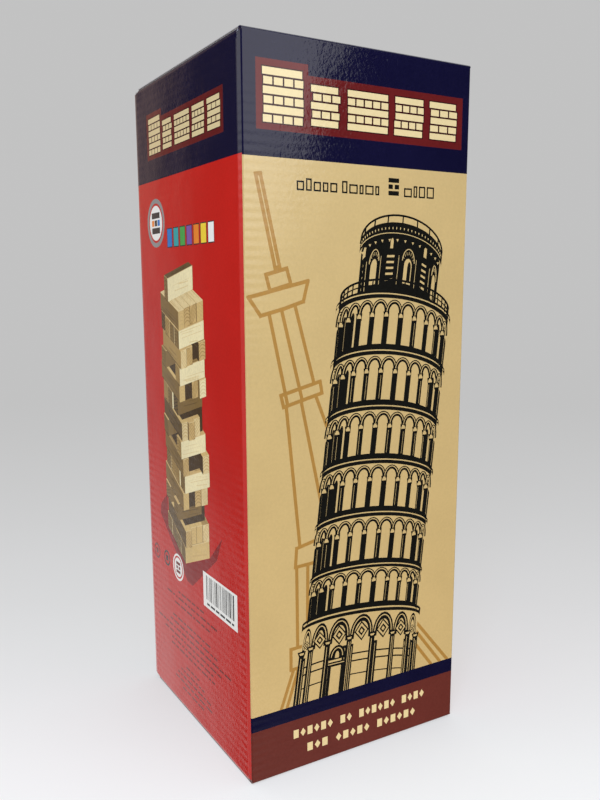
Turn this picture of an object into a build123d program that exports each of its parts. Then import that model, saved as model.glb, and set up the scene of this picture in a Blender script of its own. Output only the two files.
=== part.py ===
from build123d import *
import os

# Tuck-end carton of micro-flute board with a wooden tumbling-tower game packed in it.
# Frame: millimetres, +Z up. Origin at the centre of the carton's footprint, on the floor.
# The narrow front panel faces -Y, the left panel faces -X.

# ---------------------------------------------------------------- driving dimensions
CARTON_W = 106.2  # width of the front panel, along X
CARTON_D = 110.7  # depth of the side panels, along Y
CARTON_H = 290.0  # height over both closure panels, along Z
BOARD = 1.5  # thickness of the fluted board
CREASE_R = 1.3  # outer radius of a creased upright corner
CREASE_INNER_R = 0.35  # inner radius of the same corner
RAW_EDGE_DROP = 0.3  # from the back wall's cut edges to the carton's ends

MITRE_REACH = 20.0  # the mitre cuts run this far inside the carton's corners
MITRE_OVER = 5.0  # and this far outside them

LID_SIDE_GAP = 0.4  # closure panels are this much narrower than the carton on each side
LID_REAR_GAP = 1.4  # between the tuck flap and the back wall's inner face
LID_CREASE_R = 1.1  # outer radius of the closure panel's front and rear creases

TUCK_LEN = 13.0  # from the closure panel's outer face to the tuck flap's tip
TUCK_SIDE_GAP = 1.2  # from the tuck flap's sides to the inner faces of the side walls
TUCK_R = 7.0  # radius of the tuck flap's corners

DUST_LEN = 42.0  # dust flap, from its crease to its free edge
DUST_FRONT_GAP = 2.5  # from the front outer face to the dust flap
DUST_REAR_GAP = 0.6  # between the dust flap and the tuck flap
DUST_SHOULDER = 12.0  # length of the straight shoulder beside the tuck flap
DUST_REAR_TAPER = 8.0  # set-back of the rear edge after the shoulder
DUST_FRONT_TAPER = 24.5  # set-back of the front edge at the free edge
DUST_R = 6.0  # radius of the free corners
DUST_CREASE_R = 1.0  # outer radius of the crease

GLUE_LEN = 30.0  # glue flap, from its rear edge forwards
GLUE_REAR_GAP = 0.45  # between its rear edge and the back wall's inner face
GLUE_END = 18.0  # its ends stop this far from the carton's ends
GLUE_TAPER = 9.0  # slant of its ends
GLUE_R = 2.0  # radius of its front corners

BLOCK_L = 100.0  # one wooden block
BLOCK_W = 24.9
BLOCK_T = 20.0
BLOCK_EASE = 0.9  # chamfer on all its edges
PER_LAYER = 4
LAYERS = 14
BLOCK_PITCH = 25.0  # side by side in a layer
LAYER_PITCH = 20.05  # layer to layer
STACK_REST = 0.2  # air under the first layer

# ---------------------------------------------------------------- derived places
LEFT = -CARTON_W / 2  # outer faces of the four walls
RIGHT = CARTON_W / 2
FRONT = -CARTON_D / 2
BACK = CARTON_D / 2
TUCK_REAR = BACK - BOARD - LID_REAR_GAP  # rear face of the tuck flaps
TUCK_FRONT = TUCK_REAR - BOARD

os.makedirs("parts", exist_ok=True)


# ---------------------------------------------------------------- helpers
def keep(name, shape):
    shape.label = name
    export_step(shape, "parts/" + name + ".step")


def polygon(*points):
    return make_face(Polyline(*points, close=True))


def upright(face, z_low, z_high):
    """Extrude a face drawn in XY between two heights."""
    return extrude(Plane.XY.offset(z_low) * face, z_high - z_low, dir=(0, 0, 1))


def edges_at(body, axis, **place):
    """Edges parallel to an axis whose centres have the given X, Y or Z."""
    return body.edges().filter_by(axis).filter_by(
        lambda edge: all(abs(getattr(edge.center(), k) - v) < 0.01 for k, v in place.items())
    )


# ---------------------------------------------------------------- the four walls
# The folded tube is one ring of board; mitre planes at 45 degrees through its corners
# share it between the four panels.
outer = RectangleRounded(CARTON_W, CARTON_D, CREASE_R)
inner = RectangleRounded(CARTON_W - 2 * BOARD, CARTON_D - 2 * BOARD, CREASE_INNER_R)
ring = outer - inner


def mitre_point(corner, outward):
    """Point on the 45-degree line through a corner, given by its X and Y signs."""
    x_sign, y_sign = corner
    return (x_sign * (RIGHT + outward), y_sign * (BACK + outward))


def wall(corner_a, corner_b, end_gap):
    """Wall between two corners, stopping short of both ends of the carton."""
    wedge = polygon(
        mitre_point(corner_a, MITRE_OVER),
        mitre_point(corner_b, MITRE_OVER),
        mitre_point(corner_b, -MITRE_REACH),
        mitre_point(corner_a, -MITRE_REACH),
    )
    return upright(ring & wedge, end_gap, CARTON_H - end_gap).solid()


# The closure panels are creased to the front wall and lie over its ends; the dust flaps
# are creased to the side walls one board further in.
keep("front_wall", wall((-1, -1), (1, -1), BOARD))
keep("back_wall", wall((-1, 1), (1, 1), RAW_EDGE_DROP))
keep("left_wall", wall((-1, 1), (-1, -1), 2 * BOARD))
keep("right_wall", wall((1, 1), (1, -1), 2 * BOARD))


# ---------------------------------------------------------------- glue flap
def glue_flap():
    """Folded off the back wall at the rear right corner, glued inside the right wall."""
    y_rear = BACK - BOARD - GLUE_REAR_GAP
    y_front = y_rear - GLUE_LEN
    face = polygon(
        (y_rear, GLUE_END),
        (y_rear, CARTON_H - GLUE_END),
        (y_front, CARTON_H - GLUE_END - GLUE_TAPER),
        (y_front, GLUE_END + GLUE_TAPER),
    )
    plane = Plane.YZ.offset(RIGHT - 2 * BOARD)
    body = extrude(plane * face, BOARD, dir=(1, 0, 0)).solid()
    return fillet(edges_at(body, Axis.X, Y=y_front), GLUE_R)


keep("glue_flap", glue_flap())


# ---------------------------------------------------------------- closures
def closure_panel(top):
    """Panel over one end, its front and rear creases rounded on the outside."""
    z_low, z_high = (CARTON_H - BOARD, CARTON_H) if top else (0.0, BOARD)
    x_left = LEFT + LID_SIDE_GAP
    x_right = RIGHT - LID_SIDE_GAP
    face = polygon(
        (x_left, FRONT), (x_right, FRONT), (x_right, TUCK_REAR), (x_left, TUCK_REAR)
    )
    body = upright(face, z_low, z_high)
    creases = edges_at(body, Axis.X, Z=z_high if top else z_low)
    return fillet(creases, LID_CREASE_R).solid()


def tuck_flap(top):
    """Flap inside the back wall, from the closure panel's rear crease into the carton."""
    half = CARTON_W / 2 - BOARD - TUCK_SIDE_GAP
    root, tip = (CARTON_H - BOARD, CARTON_H - TUCK_LEN) if top else (BOARD, TUCK_LEN)
    face = polygon((-half, root), (half, root), (half, tip), (-half, tip))
    # Plane.XZ faces -Y, so its offset is the negative of Y
    body = extrude(Plane.XZ.offset(-TUCK_REAR) * face, BOARD, dir=(0, -1, 0)).solid()
    return fillet(edges_at(body, Axis.Y, Z=tip), TUCK_R)


def dust_flap(side, top):
    """Dust flap: tapered at the front so that it clears the moving closure panel."""
    if top:
        z_low, z_high = CARTON_H - 2 * BOARD, CARTON_H - BOARD
    else:
        z_low, z_high = BOARD, 2 * BOARD
    x_root, inward = (LEFT, 1) if side == "left" else (RIGHT, -1)
    x_tip = x_root + inward * DUST_LEN
    y_front = FRONT + DUST_FRONT_GAP
    y_rear = TUCK_FRONT - DUST_REAR_GAP
    face = polygon(
        (x_root, y_front),
        (x_tip, y_front + DUST_FRONT_TAPER),
        (x_tip, y_rear - DUST_REAR_TAPER),
        (x_root + inward * DUST_SHOULDER, y_rear),
        (x_root, y_rear),
    )
    body = upright(face, z_low, z_high).solid()
    body = fillet(edges_at(body, Axis.Z, X=x_tip), DUST_R)
    crease = edges_at(body, Axis.Y, X=x_root, Z=z_high if top else z_low)
    return fillet(crease, DUST_CREASE_R)


for top in (True, False):
    lid_name, end_name = ("lid", "top") if top else ("bottom", "bottom")
    keep(lid_name + "_panel", closure_panel(top))
    keep(lid_name + "_tuck_flap", tuck_flap(top))
    for side in ("left", "right"):
        keep(end_name + "_" + side + "_dust_flap", dust_flap(side, top))

# ---------------------------------------------------------------- wooden blocks
# The stack stands midway between the left wall and the glue flap, and midway between
# the front wall and the tuck flaps.
STACK_X = ((LEFT + BOARD) + (RIGHT - 2 * BOARD)) / 2
STACK_Y = ((FRONT + BOARD) + TUCK_FRONT) / 2
STACK_Z = 2 * BOARD + STACK_REST

block = Box(BLOCK_L, BLOCK_W, BLOCK_T, align=(Align.CENTER, Align.CENTER, Align.MIN))
block = chamfer(block.edges(), BLOCK_EASE)


def block_layer(layer):
    """One layer of blocks: along X in the first layer, along Y in the next, and so on."""
    z = STACK_Z + layer * LAYER_PITCH
    blocks = []
    for i in range(PER_LAYER):
        shift = (i - (PER_LAYER - 1) / 2) * BLOCK_PITCH
        if layer % 2 == 1:
            place = Pos(STACK_X + shift, STACK_Y, z) * Rot(0, 0, 90)
        else:
            place = Pos(STACK_X, STACK_Y + shift, z)
        blocks.append(place * block.solid())
    return Compound(children=blocks)


for layer in range(LAYERS):
    keep("block_layer_%02d" % (layer + 1), block_layer(layer))
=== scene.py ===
"""A tall printed carton of corrugated board, filled with crossed layers of wooden blocks.

The carton stands on z = 0, centred on the z axis. Its narrow panels face front (-y) and
back (+y), its side panels left (-x) and right (+x). A lid hinges at the front top edge and
a like closure at the front bottom edge, each with a tuck flap and two dust flaps.
Lengths are in mm in the geometry and in metres in the materials, the stage and the camera.
"""
import random
from math import asin, ceil, cos, hypot, pi, radians, sin, sqrt, tan, tau

import bmesh
import bpy
import numpy as np
from mathutils import Matrix, Vector
from mathutils.geometry import delaunay_2d_cdt


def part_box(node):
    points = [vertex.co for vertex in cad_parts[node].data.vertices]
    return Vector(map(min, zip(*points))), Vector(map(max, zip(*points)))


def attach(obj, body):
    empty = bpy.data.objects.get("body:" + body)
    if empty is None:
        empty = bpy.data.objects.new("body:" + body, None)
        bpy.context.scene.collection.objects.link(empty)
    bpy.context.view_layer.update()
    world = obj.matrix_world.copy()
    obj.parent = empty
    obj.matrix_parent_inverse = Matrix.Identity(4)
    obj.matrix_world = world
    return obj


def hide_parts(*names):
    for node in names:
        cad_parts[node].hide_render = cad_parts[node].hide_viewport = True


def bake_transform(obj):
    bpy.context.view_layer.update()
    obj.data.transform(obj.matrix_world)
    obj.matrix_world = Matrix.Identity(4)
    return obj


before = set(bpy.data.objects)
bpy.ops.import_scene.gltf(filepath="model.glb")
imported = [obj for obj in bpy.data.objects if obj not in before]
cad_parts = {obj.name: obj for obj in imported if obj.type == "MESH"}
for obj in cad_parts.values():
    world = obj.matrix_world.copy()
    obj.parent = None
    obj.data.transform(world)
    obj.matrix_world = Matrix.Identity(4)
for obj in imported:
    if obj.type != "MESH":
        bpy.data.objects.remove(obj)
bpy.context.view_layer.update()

X, Y, Z = np.eye(3)
MM = 0.001


# ------------------------------------------------------------------ sizes, in mm
def box_mm(node):
    """Lowest and highest corner of a piece of the frame."""
    return [[c * 1000 for c in corner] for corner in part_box(node)]


lid_low, lid_high = box_mm("lid_panel")
dust_low, dust_high = box_mm("top_left_dust_flap")
glue_low, glue_high = box_mm("glue_flap")
WIDTH = -2 * box_mm("left_wall")[0][0]
DEPTH = -2 * box_mm("front_wall")[0][1]
HEIGHT = lid_high[2]
BOARD = lid_high[2] - lid_low[2]  # thickness of the board
LEFT, RIGHT, FRONT, REAR = -WIDTH / 2, WIDTH / 2, -DEPTH / 2, DEPTH / 2
LID_HALF, LID_REAR = lid_high[:2]
TUCK_HALF = box_mm("lid_tuck_flap")[1][0]
BACK_LOW, BACK_TOP = (corner[2] for corner in box_mm("back_wall"))

LINER = 0.26  # thickness of the printed and the inner liner
MEDIUM = 0.17  # thickness of the fluted paper
PITCH = 3.35  # from flute to flute
WAVE = (BOARD - 2 * LINER - MEDIUM) / 2  # height of the wave to each side of its middle
BEND = 2.2  # length of board that bends at a crease, from the outer corner
FOLD_RISE = 1.2  # how far the dust flaps' folds stand up
PRESS_WIDTH = 2.6  # strip along the closure panels' side edges that is pressed thin
PRESS_LEFT = 0.46  # share of the thickness left there

# ------------------------------------------------------------------ materials
MATERIALS = {}


def linear(rgb):
    """Linear colour from sRGB 0-255."""
    return [
        c / 12.92 if c <= 0.04045 else ((c + 0.055) / 1.055) ** 2.4
        for c in (level / 255 for level in rgb)
    ]


class Signal:
    """A shader node's output, which takes part in arithmetic by adding math nodes."""

    def __init__(self, graph, socket):
        self.graph = graph
        self.socket = socket

    def __add__(self, other):
        return self.graph.math("ADD", self, other)

    def __radd__(self, other):
        return self.graph.math("ADD", other, self)

    def __sub__(self, other):
        return self.graph.math("SUBTRACT", self, other)

    def __rsub__(self, other):
        return self.graph.math("SUBTRACT", other, self)

    def __mul__(self, other):
        return self.graph.math("MULTIPLY", self, other)

    def __truediv__(self, other):
        return self.graph.math("DIVIDE", self, other)

    def scaled(self, factor, plus):
        return self.graph.math("MULTIPLY_ADD", self, factor, plus)


class Graph:
    """A node tree under construction."""

    def __init__(self, tree):
        tree.nodes.clear()
        self.tree = tree

    def use(self, kind, inputs=(), output=0, **settings):
        """Add a node, fill its inputs with signals or plain values, and return one output."""
        node = self.tree.nodes.new("ShaderNode" + kind)
        for key, value in settings.items():
            setattr(node, key, value)
        for key, value in dict(inputs).items():
            if isinstance(value, Signal):
                self.tree.links.new(value.socket, node.inputs[key])
            else:
                node.inputs[key].default_value = value
        return Signal(self, node.outputs[output]) if node.outputs else None

    def math(self, operation, *values):
        return self.use("Math", enumerate(values), operation=operation)

    def split(self, vector):
        """The x, y and z of a vector."""
        x = self.use("SeparateXYZ", {0: vector})
        return [x] + [Signal(self, x.socket.node.outputs[i]) for i in (1, 2)]

    def position(self):
        return self.use("TexCoord", output="Object")

    def attribute(self, name, output="Fac"):
        return self.use("Attribute", output=output, attribute_name=name)

    def stretched(self, vector, scale):
        return self.use("Mapping", {"Scale": scale, "Vector": vector})

    def noise(self, vector, scale, detail=3.0, rough=0.55):
        inputs = {"Scale": scale, "Detail": detail, "Roughness": rough, "Vector": vector}
        return self.use("TexNoise", inputs, "Fac")

    def ramp(self, factor, stops):
        """Colour ramp; stops are (position, rgb)."""
        color = self.use("ValToRGB", {0: factor})
        elements = color.socket.node.color_ramp.elements
        while len(elements) < len(stops):
            elements.new(0.5)
        for element, (place, rgb) in zip(elements, stops):
            element.position = place
            element.color = (*rgb, 1)
        return color

    def mix(self, factor, first, second, blend="MIX"):
        inputs = {0: factor, 6: first, 7: second}
        return self.use("Mix", inputs, 2, data_type="RGBA", blend_type=blend)

    def remap(self, value, low, high, to_low=0.0, to_high=1.0, kind="SMOOTHSTEP"):
        inputs = {
            "Value": value, "From Min": low, "From Max": high,
            "To Min": to_low, "To Max": to_high,
        }
        return self.use("MapRange", inputs, interpolation_type=kind)

    def bump(self, height, strength=1.0):
        """Normal from a height in metres."""
        return self.use("Bump", {"Strength": strength, "Distance": 1.0, "Height": height})

    def washboard(self):
        """Flutes showing through the liner, 0 to 1; "wash" holds the mm across them."""
        wave = self.math("SINE", self.attribute("wash") * (tau / PITCH))
        return wave.scaled(0.5, 0.5)

    def surface(self, inputs):
        self.use("OutputMaterial", {0: self.use("BsdfPrincipled", inputs)})


def new_material(name):
    material = bpy.data.materials.new(name)
    material.use_nodes = True
    MATERIALS[name] = material
    return Graph(material.node_tree)


# Distance of the upright edges from the middle and the zone inward of them where
# the flutes show more, in metres
EDGE_X, EDGE_Y = 0.0531, 0.05535
EDGE_ZONE = (0.0005, 0.012)


def ink(name, rgb, mottle=0.04, specular=0.02, rough=0.42):
    """Printed liner under gloss film: slightly mottled colour, orange peel and washboard."""
    graph = new_material(name)
    here = graph.position()
    color = linear(rgb)
    mottling = graph.noise(here, 900, 2) * 0.5 + graph.noise(here, 38, 3) * 0.5
    pale = [min(1, c * (1 + mottle * 2) + 0.002) for c in color]
    dark = [max(0, c * (1 - mottle * 2)) for c in color]
    # rubbing makes the film's gloss uneven
    rubbing = graph.noise(here, scale=120, detail=5, rough=0.6)
    # relief, in metres
    x, y, _ = graph.split(here)
    from_x = EDGE_X - graph.math("ABSOLUTE", x)
    from_y = EDGE_Y - graph.math("ABSOLUTE", y)
    flute_height = graph.remap(
        graph.math("MAXIMUM", from_x, from_y), *EDGE_ZONE, to_low=0.000038, to_high=0.000010
    )
    wash = graph.washboard() * flute_height
    peel = graph.noise(here, 950, 2, 0.5) * 0.000030
    wavy = graph.noise(here, 170, 2, 0.5) * 0.00003
    warp = graph.noise(here, 26, 1, 0.5) * 0.00022
    normal = graph.bump((wash + peel) + (wavy + warp))
    graph.surface({
        "Base Color": graph.ramp(mottling, [(0.30, dark), (0.70, pale)]),
        "Roughness": rough,
        "Specular IOR Level": specular,
        "Coat Weight": 1.0,
        "Coat IOR": 1.5,
        "Coat Roughness": graph.remap(rubbing, 0.35, 0.75, 0.03, 0.075, kind="LINEAR"),
        "Coat Normal": normal,
        "Normal": normal,
    })


def paper(name, rgb, rough=0.85, fibre=0.10, wash=True):
    """Uncoated liner or fluting paper: matt, fibrous, flecked."""
    graph = new_material(name)
    here = graph.position()
    fibres = graph.noise(graph.stretched(here, (1.0, 3.2, 1.0)), 620, 5, 0.65)
    cloud = graph.noise(here, 60, 3)
    color = linear(rgb)
    base = graph.ramp(fibres * 0.65 + cloud * 0.35, [
        (0.30, [c * (1 - 2 * fibre) for c in color]),
        (0.5, color),
        (0.72, [min(1, c * (1 + fibre)) for c in color]),
    ])
    flecks = graph.ramp(graph.noise(here, 2300, 1), [(0.68, (0, 0, 0)), (0.74, (1, 1, 1))])
    height = fibres * 0.00002
    if wash:
        height = height + graph.washboard() * 0.00003
    graph.surface({
        "Base Color": graph.mix(flecks * 0.35, base, (*[c * 0.45 for c in color], 1)),
        "Roughness": rough,
        "Specular IOR Level": 0.25,
        "Normal": graph.bump(height),
    })


def wood():
    """Sanded pale softwood: rings round a pith beside each block, fibres along it.

    loc is the place within the block in mm, x along it; rid is a random number per block;
    endg marks the end grain.
    """
    graph = new_material("block_wood")
    x, y, z = graph.split(graph.attribute("loc", "Vector"))
    block = graph.attribute("rid")
    end_grain = graph.attribute("endg")
    # shifted, so that no two blocks match
    here = graph.use("CombineXYZ", {
        0: block.scaled(930.0, x), 1: block.scaled(517.0, y), 2: block.scaled(211.0, z),
    })
    wander = graph.noise(graph.stretched(here, (0.09, 1.0, 1.0)), 0.085, 3, 0.5)
    # distance from the pith, up to 26 mm aside and 17 mm below, give or take 9
    aside = graph.math("SINE", block * 91.7).scaled(26.0, y)
    below = graph.math("COSINE", block * 57.3).scaled(9.0, z) + 17.0
    radius = graph.math("SQRT", aside * aside + below * below)
    ring = graph.math("FRACT", (radius + wander * 9.0) * 0.36)
    late_wood = graph.ramp(ring, [
        (0.0, (0.05,) * 3), (0.55, (0.22,) * 3), (0.86, (1.0,) * 3), (1.0, (0.05,) * 3),
    ])
    fibre = graph.noise(graph.stretched(here, (0.035, 1.0, 1.0)), 2.6, 6, 0.62)
    grain = late_wood * 0.36 + fibre * 0.58
    color = graph.ramp(grain, [
        (0.18, linear((232, 205, 158))),
        (0.48, linear((218, 184, 132))),
        (0.85, linear((190, 144, 88))),
    ])
    # block to block: from cream to honey
    tone = graph.math("SINE", block * 133.1)
    color = graph.use("HueSaturation", {
        "Color": color,
        "Value": tone.scaled(0.14, 0.93),
        "Saturation": tone.scaled(-0.13, 0.98),
        "Hue": graph.math("SINE", block * 77.7).scaled(0.008, 0.498),
    })
    end_color = (*linear((196, 168, 132)), 1)
    color = graph.mix(end_grain * 0.62, color, end_color, "MULTIPLY")
    cells = graph.use("TexVoronoi", {"Scale": 0.021, "Vector": here}, "Distance")
    knots = graph.ramp(cells, [(0.05, (1, 1, 1)), (0.11, (0, 0, 0))])
    graph.surface({
        "Base Color": graph.mix(knots * 0.75, color, (*linear((122, 78, 42)), 1)),
        "Roughness": end_grain.scaled(0.12, grain.scaled(0.18, 0.50)),
        "Specular IOR Level": 0.35,
        "Normal": graph.bump(fibre * 0.00005 + late_wood * 0.00004, strength=0.8),
    })


ink("navy", (11, 9, 43), 0.08)
ink("tan", (203, 175, 116), 0.03, specular=0.9, rough=0.30)
ink("maroon", (98, 24, 25), 0.06)
ink("base_maroon", (98, 43, 36), 0.05)
ink("plate_line", (52, 12, 16), 0.06)
ink("cream", (226, 205, 152), 0.025, specular=0.6, rough=0.30)
ink("black", (17, 17, 14), 0.08)
ink("gold", (172, 127, 52), 0.04, specular=0.9, rough=0.30)
ink("red", (192, 27, 18))
ink("shade_red", (138, 14, 14), 0.05)
ink("print_dark", (112, 26, 22), 0.06)
ink("white", (238, 236, 230), 0.02)
ink("grey", (142, 140, 138))
ink("charcoal", (52, 50, 50))
# wood tones of the printed blocks
for number, wood_rgb in enumerate([
    (242, 226, 178), (228, 204, 150), (206, 172, 112), (168, 136, 80),
    (132, 104, 58), (74, 54, 30), (214, 182, 118), (102, 79, 44),
]):
    ink("w%d" % number, wood_rgb, 0.07)
ink("c_blue", (48, 118, 190))
ink("c_green", (74, 160, 74))
ink("c_orange", (232, 132, 42))
ink("c_yellow", (240, 208, 60))
ink("c_violet", (126, 84, 160))
ink("c_teal", (52, 158, 160))
paper("kraft", (172, 164, 153))
paper("raw_white", (222, 216, 206), 0.7, 0.05)
paper("fluting", (158, 148, 136), 0.9, 0.12, wash=False)
# cut edges of the board: raw board colour darkened to a purple-grey, part painted shade
paper("shaded_cut_edge", (150, 146, 150), 0.9, 0.10, wash=False)
wood()


# ------------------------------------------------------------------ mesh helpers
def add_attribute(mesh, name, kind, domain, values):
    layer = mesh.attributes.new(name, kind, domain)
    key = "vector" if kind == "FLOAT_VECTOR" else "value"
    layer.data.foreach_set(key, np.array(values, np.float32).ravel())


def build(name, verts, faces, inks, normals, wash=None):
    """Object from vertices in mm, with a material name per face and a normal per face corner."""
    mesh = bpy.data.meshes.new(name)
    mesh.from_pydata([(x * MM, y * MM, z * MM) for x, y, z in verts], [], faces)
    names = list(dict.fromkeys(inks))
    for material in names:
        mesh.materials.append(MATERIALS[material])
    mesh.polygons.foreach_set("material_index", [names.index(m) for m in inks])
    if wash is not None:
        add_attribute(mesh, "wash", "FLOAT", "POINT", wash)
    mesh.polygons.foreach_set("use_smooth", [True] * len(faces))
    mesh.update()
    mesh.normals_split_custom_set(normals)
    ob = bpy.data.objects.new(name, mesh)
    bpy.context.scene.collection.objects.link(ob)
    return ob


def mount(ob, node, body):
    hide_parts(node)
    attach(ob, body)


class Shells:
    """Collects closed shells into one mesh."""

    def __init__(self):
        self.verts, self.faces, self.inks, self.wash, self.normals = [], [], [], [], []

    def vert(self, point, wash=0.0):
        self.verts.append(tuple(point))
        self.wash.append(wash)
        return len(self.verts) - 1

    def cross(self, ids):
        """Cross product at the first three corners, plus that of the rest of a quad."""
        first, *rest = (np.array(self.verts[i]) for i in ids)
        return [np.cross(p - first, q - first) for p, q in zip(rest, rest[1:])]

    def face(self, ids, material, normals=None):
        if normals is None:
            normal = sum(self.cross(ids)[1:], self.cross(ids)[0])
            size = np.linalg.norm(normal)
            normal = normal / size if size > 1e-12 else Z
            normals = [normal] * len(ids)
        self.faces.append(tuple(ids))
        self.inks.append(material)
        self.normals += [tuple(n) for n in normals]

    def facing(self, ids, material, normals):
        """Face whose corners are put in the order that agrees with its normals."""
        if np.dot(self.cross(ids)[0], np.array(normals[0])) < 0:
            ids, normals = ids[::-1], normals[::-1]
        self.face(ids, material, normals)

    def done(self, name):
        return build(name, self.verts, self.faces, self.inks, self.normals, self.wash)


def smoothstep(t):
    t = min(max(t, 0.0), 1.0)
    return t * t * (3 - 2 * t)


def twice_area(poly):
    """Twice the area, positive if the polygon runs anticlockwise."""
    return sum(p[0] * q[1] - q[0] * p[1] for p, q in zip(poly, poly[1:] + poly[:1]))


def anticlockwise(poly):
    return poly if twice_area(poly) > 0 else poly[::-1]


def without_repeats(poly):
    out = []
    for x, y in poly:
        if not out or hypot(x - out[-1][0], y - out[-1][1]) > 1e-4:
            out.append((x, y))
    if len(out) > 2 and hypot(out[0][0] - out[-1][0], out[0][1] - out[-1][1]) < 1e-4:
        out.pop()
    return out


# Each panel has its own coordinates: x and y on its printed face, z out of it, so the board
# lies at z < 0. A place function turns them into a point of the carton and the face's normal.
def flat_place(origin, across, up, out):
    origin = np.array(origin, float)

    def place(x, y, z):
        return tuple(origin + across * x + up * y + out * z), tuple(out)

    return place


def path_place(path):
    """Place on a wall that follows a plan-view path of (distance, x, y, normal x, normal y)."""
    stations = [row[0] for row in path]

    def place(x, y, z):
        i = int(np.searchsorted(stations, x, side="right")) - 1
        i = min(max(i, 0), len(path) - 2)
        start, end = path[i], path[i + 1]
        t = (x - start[0]) / max(end[0] - start[0], 1e-9)
        px, py, nx, ny = (a + (b - a) * t for a, b in zip(start[1:], end[1:]))
        size = hypot(nx, ny) or 1
        nx, ny = nx / size, ny / size
        return (px + nx * z, py + ny * z, y), (nx, ny, 0.0)

    return place


def lowered(place):
    """The place function of the inner liner."""
    return lambda x, y, z: place(x, y, z - BOARD + LINER)


def plate(shells, outline, place, base, art=(), cuts=(), wash_axis=1):
    """Liner sheet over an outline, its printed face at z = 0.

    base is the ink of the field; art holds (ink, polygon), later ones on top; cuts are lines
    the mesh must follow; wash_axis is the coordinate that runs across the flutes.
    """
    points, loops, inks = [], [], [base]

    def put(poly):
        start = len(points)
        points.extend(Vector(p) for p in poly)
        return list(range(start, len(points)))

    loops.append(put(anticlockwise(without_repeats(outline))))
    for color, poly in art:
        poly = without_repeats(poly)
        if len(poly) > 2 and abs(twice_area(poly)) >= 1e-3:
            loops.append(put(anticlockwise(poly)))
            inks.append(color)
    edges = [tuple(put(cut)) for cut in cuts]
    corners, _, cells, _, _, sources = delaunay_2d_cdt(points, edges, loops, 0, 1e-5, True)
    corners = [(p[0], p[1]) for p in corners]
    triangles = []
    for cell, source in zip(cells, sources):
        if 0 not in source or len(cell) != 3:
            continue
        (x0, y0), (x1, y1), (x2, y2) = (corners[i] for i in cell)
        if abs((x1 - x0) * (y2 - y0) - (x2 - x0) * (y1 - y0)) < 1e-9:
            continue
        cell = list(cell)
        if twice_area([corners[i] for i in cell]) < 0:
            cell = cell[::-1]
        triangles.append((cell, inks[max(source)]))
    upper, lower, normal = {}, {}, {}
    for i in sorted({i for cell, _ in triangles for i in cell}):
        x, y = corners[i]
        point, normal[i] = place(x, y, 0.0)
        upper[i] = shells.vert(point, corners[i][wash_axis])
        lower[i] = shells.vert(place(x, y, -LINER)[0], corners[i][wash_axis])
    border = {}
    for cell, color in triangles:
        a, b, c = cell
        shells.face([upper[i] for i in cell], color, [normal[i] for i in cell])
        back = (a, c, b)
        shells.face([lower[i] for i in back], "kraft", [-np.array(normal[i]) for i in back])
        for edge in ((a, b), (b, c), (c, a)):
            if edge[::-1] in border:
                del border[edge[::-1]]
            else:
                border[edge] = color
    for a, b in border:
        shells.face([lower[a], lower[b], upper[b], upper[a]], "shaded_cut_edge")


def span(poly, x):
    """Lowest and highest y at which a convex polygon is cut by a line of constant x."""
    hits = []
    for (x0, y0), (x1, y1) in zip(poly, poly[1:] + poly[:1]):
        if abs(x0 - x1) < 1e-9:
            if abs(x0 - x) < 1e-6:
                hits += [y0, y1]
            continue
        t = (x - x0) / (x1 - x0)
        if -1e-9 <= t <= 1 + 1e-9:
            hits.append(y0 + t * (y1 - y0))
    return (min(hits), max(hits)) if len(hits) > 1 else None


FLUTE_INSET = 0.12  # the medium stays this far inside the board's outline
FLUTE_STEPS = 10  # per pitch
PROBE = 1e-3  # step for measuring directions on a panel


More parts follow.
